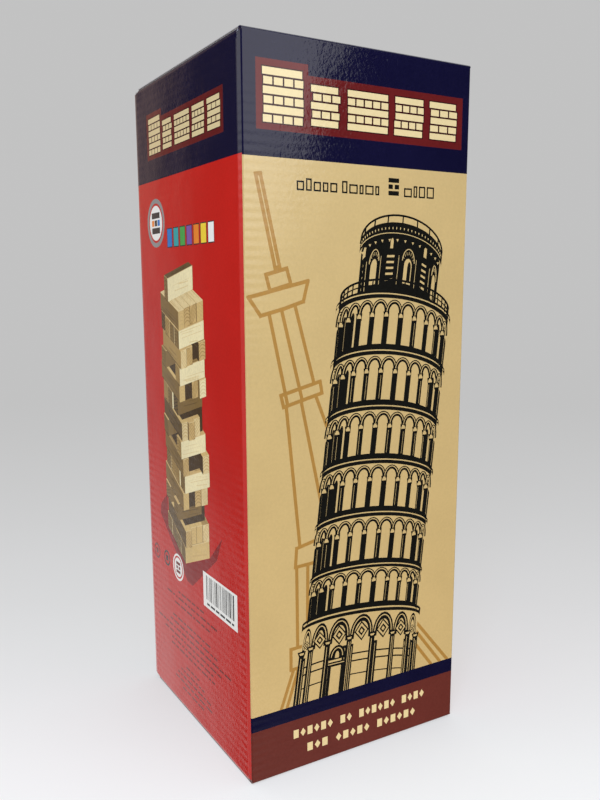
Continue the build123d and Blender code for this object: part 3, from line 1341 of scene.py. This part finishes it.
def crease_points():
    """From the narrow panel's flat to the side panel's flat, as (a, b, normal a, normal b).

    a runs from the sharp corner along the narrow panel, b along the side panel.
    """
    out = [(ARC_START, 0.0, 0.0, -1.0)]
    for i in range(1, ARC_STEPS + 1):
        t = (pi / 2 - TILT) * i / ARC_STEPS
        a, b = ARC_START - ARC_RADIUS * sin(t), ARC_RADIUS - ARC_RADIUS * cos(t)
        out.append((a, b, -sin(t), -cos(t)))
    a, b = a - STRIP * tan(TILT), b + STRIP
    out += [
        (a, b, -cos(TILT), -sin(TILT)),
        (a + 0.02, b + 0.12, -cos(0.25), 0.25),
        (a + 0.045, b + 0.26, -1.0, 0.0),
        (a + 0.01, b + 0.42, -cos(0.25), -0.25),
        (0.0, b + 0.60, -1.0, 0.0),
    ]
    return out


CREASE = crease_points()
CREASE_RUN = [0.0]  # length along the crease at each of its points
for here, after in zip(CREASE, CREASE[1:]):
    CREASE_RUN.append(CREASE_RUN[-1] + hypot(after[0] - here[0], after[1] - here[1]))
SIDE_START = CREASE[-1][1]
FLAT_START, FLAT_END = ARC_START, WIDTH - ARC_START  # flat part of a narrow panel
ARC_LENGTH = CREASE_RUN[ARC_STEPS]

# Heights where a wall's liner stops: at the ears beside the creases, at the lid's and the
# bottom's creases, and at the dust flaps' creases
EAR_LOW, EAR_TOP = BOARD + 0.12, HEIGHT - BOARD - 0.12
TOP_BEND = HEIGHT - BEND
DUST_LOW, DUST_TOP = BOARD + BEND, HEIGHT - BOARD - BEND

NARROW_PRINT = to_panel(narrow_art(), NARROW_GRID, WIDTH)
SIDE_PRINT = to_panel(side_art(), SIDE_GRID, DEPTH)


def side_colours(start, end):
    """The side's colours, which begin just round the corner of a narrow panel."""
    border = HEIGHT - SIDE_NAVY_END * GRID_STEP
    return [
        ("navy", rect(start, border, end, HEIGHT + 1)),
        ("red", rect(start, -1, end, border)),
    ]


def upright_cuts(path):
    return [((row[0], -1), (row[0], HEIGHT + 1)) for row in path[1:-1]]


def inner_liner(shells, start, end, low, high):
    """Inner liner of a wall between two plan points; it faces right of their direction."""
    (x0, y0), (x1, y1) = start, end
    length = hypot(x1 - x0, y1 - y0)
    ux, uy = (x1 - x0) / length, (y1 - y0) / length
    place = flat_place((x0, y0, 0), X * ux + Y * uy, Z, X * uy - Y * ux)
    plate(shells, rect(0, low, length, high), place, "kraft")


def front_wall():
    stations = list(zip(CREASE, CREASE_RUN))
    path = [
        (ARC_START - run, LEFT + a, FRONT + b, na, nb)
        for (a, b, na, nb), run in reversed(stations)
    ] + [
        (WIDTH - ARC_START + run, RIGHT - a, FRONT + b, -na, nb)
        for (a, b, na, nb), run in stations
    ]
    start, end = path[0][0], path[-1][0]
    outline = [
        (start, EAR_LOW), (FLAT_START, EAR_LOW), (FLAT_START, BEND), (FLAT_END, BEND),
        (FLAT_END, EAR_LOW), (end, EAR_LOW), (end, EAR_TOP), (FLAT_END, EAR_TOP),
        (FLAT_END, TOP_BEND), (FLAT_START, TOP_BEND), (FLAT_START, EAR_TOP), (start, EAR_TOP),
    ]
    art = NARROW_PRINT + side_colours(start - 1, FLAT_START - ARC_LENGTH)
    art += side_colours(FLAT_END + ARC_LENGTH, end + 1)
    shells = Shells()
    plate(shells, outline, path_place(path), "tan", art, upright_cuts(path))
    inside = FRONT + BOARD
    inner_liner(shells, (RIGHT - BOARD + LINER, inside), (LEFT + BOARD - LINER, inside),
                BOARD + 0.1, HEIGHT - BOARD - 0.1)
    flutes(shells, rect(LEFT + 1.1, BEND, RIGHT - 1.1, TOP_BEND),
           flat_place((0, FRONT, 0), X, Z, -Y), swap=True)
    mount(shells.done("front_wall_board"), "front_wall", "carton")


# The back wall turns in to the glue flap at its right (+x) end
GLUE_RADIUS = 1.25
GLUE_X = RIGHT - BOARD - 0.05  # outer face of the glue flap
GLUE_RUN = 0.8  # straight part of the back's liner on the flap


def back_wall():
    turn = GLUE_RADIUS * pi / 2
    flat = RIGHT - (GLUE_X - GLUE_RADIUS)  # distance at which the flat begins
    path = [(flat - turn - GLUE_RUN, GLUE_X, REAR - GLUE_RADIUS - GLUE_RUN, 1.0, 0.0)]
    for i in range(8, -1, -1):
        t = pi / 2 * i / 8
        x = GLUE_X - GLUE_RADIUS + GLUE_RADIUS * sin(t)
        y = REAR - GLUE_RADIUS + GLUE_RADIUS * cos(t)
        path.append((flat - turn * i / 8, x, y, sin(t), cos(t)))
    for (a, b, na, nb), run in zip(CREASE, CREASE_RUN):
        path.append((WIDTH - ARC_START + run, LEFT + a, REAR - b, na, -nb))
    start, end = path[0][0], path[-1][0]
    corner = flat - turn * 0.5
    outline = [
        (start, glue_low[2]), (corner, glue_low[2] - 4), (corner, BACK_LOW),
        (FLAT_END, BACK_LOW), (FLAT_END, EAR_LOW), (end, EAR_LOW), (end, EAR_TOP),
        (FLAT_END, EAR_TOP), (FLAT_END, BACK_TOP), (corner, BACK_TOP),
        (corner, glue_high[2] + 4), (start, glue_high[2]),
    ]
    art = NARROW_PRINT + side_colours(FLAT_END + ARC_LENGTH, end + 1)
    art.append(("raw_white", rect(start - 1, -1, flat - turn * 0.55, HEIGHT + 1)))
    shells = Shells()
    plate(shells, outline, path_place(path), "tan", art, upright_cuts(path))
    inside = REAR - BOARD
    inner_liner(shells, (LEFT + BOARD - LINER, inside),
                (RIGHT - BOARD - GLUE_RADIUS - 0.1, inside), BACK_LOW, BACK_TOP)
    flutes(shells, rect(LEFT + 1.1, BACK_LOW, RIGHT - BOARD - GLUE_RADIUS, BACK_TOP),
           flat_place((0, REAR, 0), X, Z, Y), swap=True)
    mount(shells.done("back_wall_board"), "back_wall", "carton")


def side_wall(name, wall_x, sign):
    """Side wall facing sign * X. Seen from outside, its x runs left to right.

    The right wall's rear end is the cut edge of the carton's joint.
    """
    left = sign < 0
    origin = REAR if left else FRONT
    place = flat_place((wall_x, origin, 0), sign * Y, Z, sign * X)

    def across(*ends):
        """Panel x of two carton y, in rising order."""
        return sorted((y - origin) * sign for y in ends)

    start, end = across(FRONT + SIDE_START, REAR - (SIDE_START if left else 0.25))
    flap_start, flap_end = across(dust_low[1], dust_high[1])
    if flap_start > start:
        outline = [(start, EAR_LOW), (flap_start, EAR_LOW), (flap_start, DUST_LOW)]
        closing = [(flap_start, DUST_TOP), (flap_start, EAR_TOP), (start, EAR_TOP)]
    else:
        outline, closing = [(start, DUST_LOW)], [(start, DUST_TOP)]
    if flap_end < end:
        outline += [
            (flap_end, DUST_LOW), (flap_end, EAR_LOW), (end, EAR_LOW),
            (end, EAR_TOP), (flap_end, EAR_TOP), (flap_end, DUST_TOP),
        ]
    else:
        outline += [(end, DUST_LOW), (end, DUST_TOP)]
    shells = Shells()
    plate(shells, outline + closing, place, "red", SIDE_PRINT)
    inside = wall_x - sign * BOARD
    ends = [
        (inside, FRONT + BOARD - LINER),
        (inside, REAR - BOARD + LINER if left else REAR - 0.3),
    ]
    inner_liner(shells, *ends[:: -sign], 2 * BOARD, HEIGHT - 2 * BOARD)
    low, high = across(FRONT + 1.1, REAR - (1.1 if left else 0.2))
    flutes(shells, rect(low, DUST_LOW - 0.5, high, DUST_TOP + 0.5), place, swap=True)
    mount(shells.done(name + "_board"), name, "carton")


def glue_flap():
    outline = clip(outline_of("glue_flap", 1, 2), 0, REAR - GLUE_RADIUS - GLUE_RUN, False)
    place = flat_place((GLUE_X, 0, 0), Y, Z, X)
    shells = Shells()
    plate(shells, outline, place, "raw_white")
    plate(shells, outline, lowered(place), "kraft")
    flutes(shells, outline, place, swap=True)
    mount(shells.done("glue_flap_board"), "glue_flap", "carton")


front_wall()
back_wall()
side_wall("left_wall", LEFT, -1)
side_wall("right_wall", RIGHT, 1)
glue_flap()

# ------------------------------------------------------------------ creases, as bent bands of board
OUTER_RADIUS, INNER_RADIUS = 1.15, 0.12
FOLD_POINTS = 33  # along each face of a fold


def resampled(points):
    """Points evenly spaced along a polyline."""
    points = np.array(points)
    steps = np.linalg.norm(np.diff(points, axis=0), axis=1)
    run = np.concatenate([[0], np.cumsum(steps)])
    even = np.linspace(0, run[-1], FOLD_POINTS)
    return np.stack([np.interp(even, run, points[:, j]) for j in range(3)], 1)


def elbow(name, pivot, wall, flap, along, low, high, child, color, rise=0.0, reach=0.0):
    """Board bent over a crease, from the fixed panel to the hinged one.

    pivot: outer corner. wall, flap: directions from it down the fixed and along the hinged
    panel. along: the crease's direction, from low to high. rise: how far the fold stands up
    over the hinged panel. reach: how much further its ends go past the turn.
    """
    pivot = np.array(pivot, float)

    def arc(centre, radius, steps):
        turns = [pi / 2 * i / steps for i in range(steps + 1)]
        return [(wall + flap) * centre + (-flap * cos(t) - wall * sin(t)) * radius for t in turns]

    def section(points):
        """Even points with the fold's rise added."""
        return np.array([
            q - wall * rise
            * smoothstep(1 - float(q @ flap) / BEND) * smoothstep(1 - float(q @ wall) / BEND)
            for q in resampled(points)
        ])

    def normals_of(points, sign):
        normals = np.cross(np.gradient(points, axis=0), along)
        normals /= np.linalg.norm(normals, axis=1)[:, None]
        # outside of the fold is away from both panels
        turned = np.dot(normals[FOLD_POINTS // 2], -(wall + flap)) * sign < 0
        return -normals if turned else normals

    straight = OUTER_RADIUS + 0.05
    outer = section(
        [wall * BEND, wall * straight]
        + arc(OUTER_RADIUS, OUTER_RADIUS, 18)
        + [flap * straight, flap * BEND]
    )
    inner_centre = BOARD + INNER_RADIUS
    runs = [BEND + (inner_centre - BEND) * share for share in (0.0, 0.35, 0.7)]
    inner = section(
        [flap * BOARD + wall * run for run in runs]
        + arc(inner_centre, INNER_RADIUS, 8)
        + [wall * BOARD + flap * run for run in reversed(runs)]
    )
    outer_normals, inner_normals = normals_of(outer, 1), normals_of(inner, -1)
    extra = [reach * smoothstep((BEND - float(q @ wall)) / 1.6) for q in outer]
    slices = max(1, int(ceil((high - low) / 6.0)))
    shells = Shells()
    outer_grid, inner_grid = [], []
    for i in range(slices + 1):
        outer_row, inner_row = [], []
        for k in range(FOLD_POINTS):
            place = low - extra[k] + (high - low + 2 * extra[k]) * (i / slices)
            outer_row.append(shells.vert(pivot + along * place + outer[k], k * 0.1))
            inner_row.append(shells.vert(pivot + along * place + inner[k], k * 0.1))
        outer_grid.append(outer_row)
        inner_grid.append(inner_row)
    last = FOLD_POINTS - 1
    faces = ((outer_grid, outer_normals, color), (inner_grid, inner_normals, "kraft"))
    for i in range(slices):
        for k in range(last):
            for grid, normals, material in faces:
                shells.facing(
                    [grid[i][k], grid[i + 1][k], grid[i + 1][k + 1], grid[i][k + 1]], material,
                    [normals[k], normals[k], normals[k + 1], normals[k + 1]],
                )
        for k, normal in ((0, wall), (last, flap)):
            ring = [
                outer_grid[i][k], outer_grid[i + 1][k], inner_grid[i + 1][k], inner_grid[i][k],
            ]
            shells.facing(ring, "shaded_cut_edge", [normal] * 4)
    end_ink = color if reach else "shaded_cut_edge"
    for i, sign in ((0, -1), (slices, 1)):
        for k in range(last):
            ring = [
                outer_grid[i][k], outer_grid[i][k + 1], inner_grid[i][k + 1], inner_grid[i][k],
            ]
            shells.facing(ring, end_ink, [along * sign] * 4)
    ob = shells.done(name)
    # a line across the middle of the band's turn, in metres
    half = (BEND - BOARD) / 2 * 0.92
    diagonal = flap - wall
    start, end = (pivot - diagonal * half) * MM, (pivot + diagonal * half) * MM
    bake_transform(ob)


# Closures: panel, end of the carton, z of the outer face, its direction along z,
# ink of the panel, ink of the dust flaps' folds, rise of those folds
CLOSURES = (
    ("lid", "top", HEIGHT, 1, "navy", "navy", FOLD_RISE),
    ("bottom", "bottom", 0.0, -1, "base_maroon", "red", FOLD_RISE + 0.2),
)
SIDES = (("left", LEFT, 1), ("right", RIGHT, -1))  # name, x, direction inward

for panel, _, z, facing, color, _, _ in CLOSURES:
    elbow(panel + "_crease", (0, FRONT, z), -facing * Z, Y, X, LEFT + ARC_START,
          RIGHT - ARC_START, panel, color, reach=0.5)
for panel, _, z, facing, color, _, _ in CLOSURES:
    elbow(panel + "_tuck_crease", (0, LID_REAR, z), -Y, -facing * Z, X, -TUCK_HALF + 0.5,
          TUCK_HALF - 0.5, panel + "_tuck", color)
for side, x, inward in SIDES:
    for _, end, z, facing, _, color, rise in CLOSURES:
        flap = "%s_%s_dust" % (end, side)
        elbow(flap + "_crease", (x, 0, z - facing * BOARD), -facing * Z, inward * X, Y,
              dust_low[1], dust_high[1], flap, color, rise=rise)


# ------------------------------------------------------------------ hinged panels
def pressed(flat, half_width):
    """Place on a panel whose side edges are pressed thin."""

    def place(x, y, z):
        if z > -LINER * 1.01:
            return flat(x, y, z)
        left = smoothstep((half_width - abs(x)) / PRESS_WIDTH)
        left = PRESS_LEFT + (1 - PRESS_LEFT) * left
        share = (left - LINER / BOARD) / (1 - LINER / BOARD)
        return flat(x, y, -LINER + (z + LINER) * share)

    return place


def board(name, node, body, outline, place, color, art=(), swap=True, half_width=0.0):
    """Flat fluted board: printed liner, medium, inner liner.

    swap: the wave runs along y. half_width: that of a panel with pressed side edges.
    """
    cuts, breaks = [], []
    if half_width:
        place = pressed(place, half_width)
        for i in range(1, 6):
            edge = PRESS_WIDTH * i / 5
            breaks += [-half_width + edge, half_width - edge]
        breaks.sort()
        heights = [p[1] for p in outline]
        cuts = [((x, min(heights) - 1), (x, max(heights) + 1)) for x in breaks]
    shells = Shells()
    plate(shells, outline, place, color, art, cuts, int(swap))
    plate(shells, outline, lowered(place), "kraft", (), cuts, int(swap))
    flutes(shells, outline, place, swap, breaks)
    mount(shells.done(name), node, body)


LID_TITLE_STEP = 0.145  # mm per grid unit, before shrinking
LID_TITLE_SHRINK = 0.84


def lid_art():
    """Small title in the middle of the lid."""
    step, shrink = LID_TITLE_STEP, LID_TITLE_SHRINK
    return [
        (color, [((x - 371.5) * step * shrink, (150 - y) * step * shrink - 1.5) for x, y in poly])
        for color, poly in title(*PLATE)
    ]


DUST_BLEED = 6.5  # print at the root of a dust flap, from the wall's face

for panel, end, z, facing, color, dust_ink, _ in CLOSURES:
    place = flat_place((0, 0, z), facing * X, Y, facing * Z)
    board(panel + "_board", panel + "_panel", panel,
          rect(-LID_HALF, FRONT + BEND, LID_HALF, LID_REAR - BEND), place, color,
          lid_art() if panel == "lid" else (), half_width=LID_HALF)

    # the tuck flap's outer face looks back
    outline = clip(outline_of(panel + "_tuck_flap", 0, 2), 1, z - facing * BEND, facing < 0)
    board(panel + "_tuck_board", panel + "_tuck_flap", panel + "_tuck",
          [(-x, y) for x, y in outline], flat_place((0, LID_REAR, 0), -X, Z, Y), color)

    for side, wall_x, inward in SIDES:
        flap = "%s_%s_dust" % (end, side)
        outline = clip(outline_of(flap + "_flap", 0, 1), 0, wall_x + inward * BEND, inward > 0)
        place = flat_place((0, 0, z - facing * BOARD), facing * X, Y, facing * Z)
        bleed = facing * (wall_x + inward * DUST_BLEED)
        strip = rect(bleed, -100, bleed - 20 if bleed < 0 else bleed + 20, 100)
        board(flap + "_board", flap + "_flap", flap, [(facing * x, y) for x, y in outline],
              place, "raw_white", [(dust_ink, strip)], swap=False)


# ------------------------------------------------------------------ wooden blocks
BIG_FACE = 100  # mm2; larger faces are flat-shaded


def rounded_block(length, width, height, ease):
    """Centred block with eased edges, length along x.

    Returns its vertices and, per face, the corners, the end-grain weight and the normals.
    """
    mesh = bmesh.new()
    bmesh.ops.create_cube(mesh, size=1.0)
    for v in mesh.verts:
        v.co = Vector((v.co.x * length, v.co.y * width, v.co.z * height))
    bmesh.ops.bevel(
        mesh, geom=list(mesh.edges), offset=ease, segments=3, profile=0.5, affect="EDGES"
    )
    mesh.normal_update()
    mesh.verts.index_update()
    verts = [tuple(v.co) for v in mesh.verts]
    faces = []
    for face in mesh.faces:
        area = face.calc_area()
        grain = 1.25 if area < BIG_FACE else 1.0 if abs(face.normal.x) > 0.6 else 0.0
        normals = [tuple(face.normal if area > BIG_FACE else v.normal) for v in face.verts]
        faces.append(([v.index for v in face.verts], grain, normals))
    mesh.free()
    return verts, faces


def block_layer(node, draw):
    """Four blocks side by side, each a little smaller than its slot and slightly askew."""
    low, high = box_mm(node)
    size_x, size_y, thick = (b - a for a, b in zip(low, high))
    middle_x, middle_y, middle_z = ((a + b) / 2 for a, b in zip(low, high))
    along_x = size_x > size_y
    length = max(size_x, size_y)
    pitch = length / 4
    width = min(size_x, size_y) - 3 * pitch
    verts, faces, local, block_ids, end_grain, normals = [], [], [], [], [], []
    for i in range(4):
        shorter = draw.uniform(0, 0.6)
        narrower = draw.uniform(0.15, 0.5)
        thinner = draw.uniform(0, 0.10)
        block_verts, block_faces = rounded_block(
            length - shorter, width - narrower, thick - thinner, draw.uniform(0.9, 1.25)
        )
        base = len(verts)
        block_id = draw.random()
        angle = radians(draw.uniform(-0.05, 0.05)) + (0 if along_x else pi / 2)
        offset, shift = (i - 1.5) * pitch, draw.uniform(-0.2, 0.2)
        dx, dy = (shift, offset) if along_x else (offset, shift)
        turn_cos, turn_sin = cos(angle), sin(angle)

        def turned(x, y, z):
            return x * turn_cos - y * turn_sin, x * turn_sin + y * turn_cos, z

        for point in block_verts:
            x, y, z = turned(*point)
            verts.append((middle_x + dx + x, middle_y + dy + y, middle_z - thinner / 2 + z))
        local += block_verts
        block_ids += [block_id] * len(block_verts)
        for corners, grain, face_normals in block_faces:
            faces.append([base + k for k in corners])
            end_grain.append(grain)
            normals += [turned(*n) for n in face_normals]
    name = node.replace("block_layer", "wood_blocks")
    ob = build(name, verts, faces, ["block_wood"] * len(faces), normals)
    add_attribute(ob.data, "loc", "FLOAT_VECTOR", "POINT", local)
    add_attribute(ob.data, "rid", "FLOAT", "POINT", block_ids)
    add_attribute(ob.data, "endg", "FLOAT", "FACE", end_grain)
    mount(ob, node, "layer_" + node[-2:])


block_draw = random.Random(2024)
for node in sorted(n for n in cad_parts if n.startswith("block_layer_")):
    block_layer(node, block_draw)


# ------------------------------------------------------------------ camera
def turn(axis, angle):
    """Rotation matrix about one axis."""
    i, j = (axis + 1) % 3, (axis + 2) % 3
    matrix = np.eye(3)
    matrix[i, i] = matrix[j, j] = cos(angle)
    matrix[i, j], matrix[j, i] = -sin(angle), sin(angle)
    return matrix


# Rows of VIEW: the camera's right, down and forward. CORNER is where the carton's front left
# foot lies in those directions, in carton heights.
LEVEL_VIEW = np.array([[1, 0, 0], [0, 0, -1], [0, 1, 0]], float)
VIEW = turn(2, -0.0047) @ turn(0, 0.1750) @ turn(1, -0.5275) @ LEVEL_VIEW
CORNER = np.array((-0.0613, 0.5051, 1.1186))
EYE = -(VIEW.T @ CORNER) * HEIGHT * MM + np.array((LEFT, FRONT, 0)) * MM


def add_camera():
    data = bpy.data.cameras.new("camera")
    camera = bpy.data.objects.new("camera", data)
    bpy.context.scene.collection.objects.link(camera)
    data.sensor_fit = "AUTO"
    data.sensor_width = 36
    data.lens = 35.7075
    data.shift_x = 0.0059625
    data.shift_y = 0.0336
    data.clip_start = 0.01
    data.clip_end = 50
    pose = Matrix.Identity(4)
    for i in range(3):
        pose[i] = (VIEW[0][i], -VIEW[1][i], -VIEW[2][i], EYE[i])
    camera.matrix_world = pose
    bpy.context.scene.camera = camera


add_camera()

# ------------------------------------------------------------------ floor, backdrop and light
TENT = 0.86  # brightness of the light tent for matt surfaces
# painted glow: part of the stage's brightness is emission, so the carton's shadow and bounce on
# it are painted out
GLOW = 0.62  # share of the stage's brightness that does not depend on the light falling on it
# The stage's tone is painted light, brighter low in the view and darker further off. It follows
# the slope below the camera's axis: its place on the ramp rises by TONE_PER_SLOPE per unit of
# slope, from TONE_ON_AXIS. The nodes count in thousandths of it.
TONE_PER_SLOPE, TONE_ON_AXIS = 0.7935, 0.42688
# Place on the ramp, sRGB grey
PAINTED_STAGE_RAMP = [
    (0.405, 194), (0.440, 196.8), (0.480, 200.5), (0.520, 204.8), (0.560, 210.2),
    (0.600, 214.8), (0.640, 220.8), (0.680, 226.4), (0.720, 232.2), (0.760, 237.6),
    (0.800, 241),
]
FAR_GREY = 194


def stage_material():
    """Pale seamless paper with painted light: bright in front of the carton, falling off evenly
    behind it, partly glowing.
    """
    graph = new_material("studio_grey")
    here = graph.position()

    def stage_grey(tone):
        return (linear((tone,))[0] / TENT,) * 3

    def along(axis):
        """Distance from the camera along one of its axes."""
        inputs = {0: here, 1: tuple(float(c) for c in axis)}
        dot = graph.use("VectorMath", inputs, "Value", operation="DOT_PRODUCT")
        return dot - float(np.dot(axis, EYE))

    slope = along(VIEW[1]) / graph.math("MAXIMUM", along(VIEW[2]), 0.22)
    tone = slope.scaled(TONE_PER_SLOPE * 1000, TONE_ON_AXIS * 1000)
    grain = (graph.noise(here, 40, 4) - 0.5) * 0.004
    near = graph.ramp(tone * 0.001 + grain, [(p, stage_grey(t)) for p, t in PAINTED_STAGE_RAMP])
    x, y, _ = graph.split(here)
    radius = graph.math("SQRT", x * x + y * y)
    color = graph.mix(graph.remap(radius, 0.55, 2.1), near, (*stage_grey(FAR_GREY), 1))
    graph.surface({
        "Base Color": graph.mix(1 - GLOW, (0, 0, 0, 1), color),
        "Emission Color": color,
        "Emission Strength": TENT * GLOW,
        "Roughness": 0.9,
        "Specular IOR Level": 0.0,
    })


def sweep_backdrop():
    """Floor that curves up into a backdrop all round, in metres."""
    floor, curve_radius, wall_top, sink = 1.6, 1.2, 5.0, 0.0004
    profile = [(floor, 0.0)]  # radius, height
    for i in range(1, 13):
        t = pi / 2 * i / 12
        profile.append((floor + curve_radius * sin(t), curve_radius - curve_radius * cos(t)))
    profile.append((floor + curve_radius, wall_top))
    count = 96
    verts = [(0, 0, -sink)]
    for radius, z in profile:
        for i in range(count):
            verts.append((radius * cos(tau * i / count), radius * sin(tau * i / count), z - sink))
    faces = [(0, 1 + i, 1 + (i + 1) % count) for i in range(count)]
    for k in range(len(profile) - 1):
        for i in range(count):
            a, b = 1 + k * count + i, 1 + k * count + (i + 1) % count
            faces.append((a, a + count, b + count, b))
    mesh = bpy.data.meshes.new("studio_sweep")
    mesh.from_pydata(verts, [], faces)
    mesh.polygons.foreach_set("use_smooth", [True] * len(faces))
    stage_material()
    mesh.materials.append(MATERIALS["studio_grey"])
    ob = bpy.data.objects.new("studio_sweep", mesh)
    bpy.context.scene.collection.objects.link(ob)
    # light comes from all round it as from a light tent, and gloss shows the panels only
    ob.visible_diffuse = False
    ob.visible_glossy = False
    ob.visible_shadow = False


# Panels seen in the gloss: level, azimuth from and to, elevation from and to, softness of the
# azimuth and of the elevation edges, slant in degrees of azimuth per degree of elevation.
# Azimuth is 0 in front of the carton and positive to the right.
GLOSS_FLOOR = 0.014
GLOSS_PANELS = (
    (1.75, -12, 30.95, 4, 60, 0.9, 8.0, 0.36),
    (0.50, -147, -133, 8, 60, 2.5, 4.0, 0.0),
    (0.30, -147, -133, -60, 24, 2.5, 6.0, 0.0),
    (0.37, -190, -158.8, -60, 24, 2.6, 5.0, 0.0),
    (0.44, -180, -154.6, -70, -17, 1.8, 8.0, 0.0),
    (0.42, 150, 182, -60, 70, 3.0, 6.0, 0.0),
    (0.20, 10, 37, -70, -32, 6.0, 8.0, 0.0),
    (1.0, 84, 130, 0, 70, 12.0, 12.0, 0.0),
    (1.0, -181, 181, 62, 91, 3.0, 10.0, 0.0),
)
WARM_PANEL = (1.0, -196, -150, 2, 75, 5.0, 8.0, 0.0)


def light_tent():
    """Even white all round for matt surfaces; soft panels between dark gaps for gloss."""
    world = bpy.data.worlds.new("studio_world")
    bpy.context.scene.world = world
    world.use_nodes = True
    graph = Graph(world.node_tree)
    x, y, z = graph.split(graph.use("TexCoord", output="Generated"))
    azimuth = graph.math("ARCTAN2", x, y * -1.0) * (180 / pi)
    elevation = graph.math("ARCSINE", z) * (180 / pi)

    def panel(level, az0, az1, el0, el1, soft_az, soft_el, slant):
        slanted = azimuth - (elevation - 9.0) * slant
        light = graph.remap(slanted, az0 - soft_az, az0 + soft_az)
        light = light * graph.remap(slanted, az1 - soft_az, az1 + soft_az, 1.0, 0.0)
        light = light * graph.remap(elevation, el0 - soft_el, el0 + soft_el)
        light = light * graph.remap(elevation, el1 - soft_el, el1 + soft_el, 1.0, 0.0)
        return light * level

    gloss = GLOSS_FLOOR
    for row in GLOSS_PANELS:
        gloss = gloss + panel(*row)
    is_gloss = graph.use("LightPath", output="Is Glossy Ray")
    strength = graph.use("Mix", {0: is_gloss, 2: TENT, 3: gloss}, data_type="FLOAT")
    # the gloss to the rear left is a little warm above the horizon
    warm = panel(*WARM_PANEL) * is_gloss
    color = graph.mix(warm, (1.0, 1.0, 1.0, 1.0), (1.18, 0.80, 0.62, 1.0))
    background = graph.use("Background", {"Strength": strength, "Color": color})
    graph.use("OutputWorld", {0: background})


def softbox(name, place, target, size, power, color):
    """Area light aimed at a target; matt surfaces only."""
    data = bpy.data.lights.new(name, "AREA")
    data.shape = "RECTANGLE"
    data.size, data.size_y = size
    data.energy = power
    data.color = color
    ob = bpy.data.objects.new(name, data)
    bpy.context.scene.collection.objects.link(ob)
    ob.location = place
    ob.rotation_mode = "QUATERNION"
    ob.rotation_quaternion = (Vector(target) - Vector(place)).to_track_quat("-Z", "Y")
    ob.visible_glossy = False
    ob.visible_camera = False


sweep_backdrop()
light_tent()
softbox("key_high", place=(-0.24, -0.32, 0.46), target=(-0.045, -0.05, 0.235),
        size=(0.12, 0.12), power=0.80, color=(0.76, 0.93, 1.25))
softbox("table_bounce", place=(0.0, -0.42, -0.22), target=(0.0, -0.05, 0.0),
        size=(0.30, 0.10), power=0.62, color=(1.0, 0.80, 0.58))

view = bpy.context.scene.view_settings
view.view_transform = "Standard"
view.look = "None"
view.exposure = 0.0
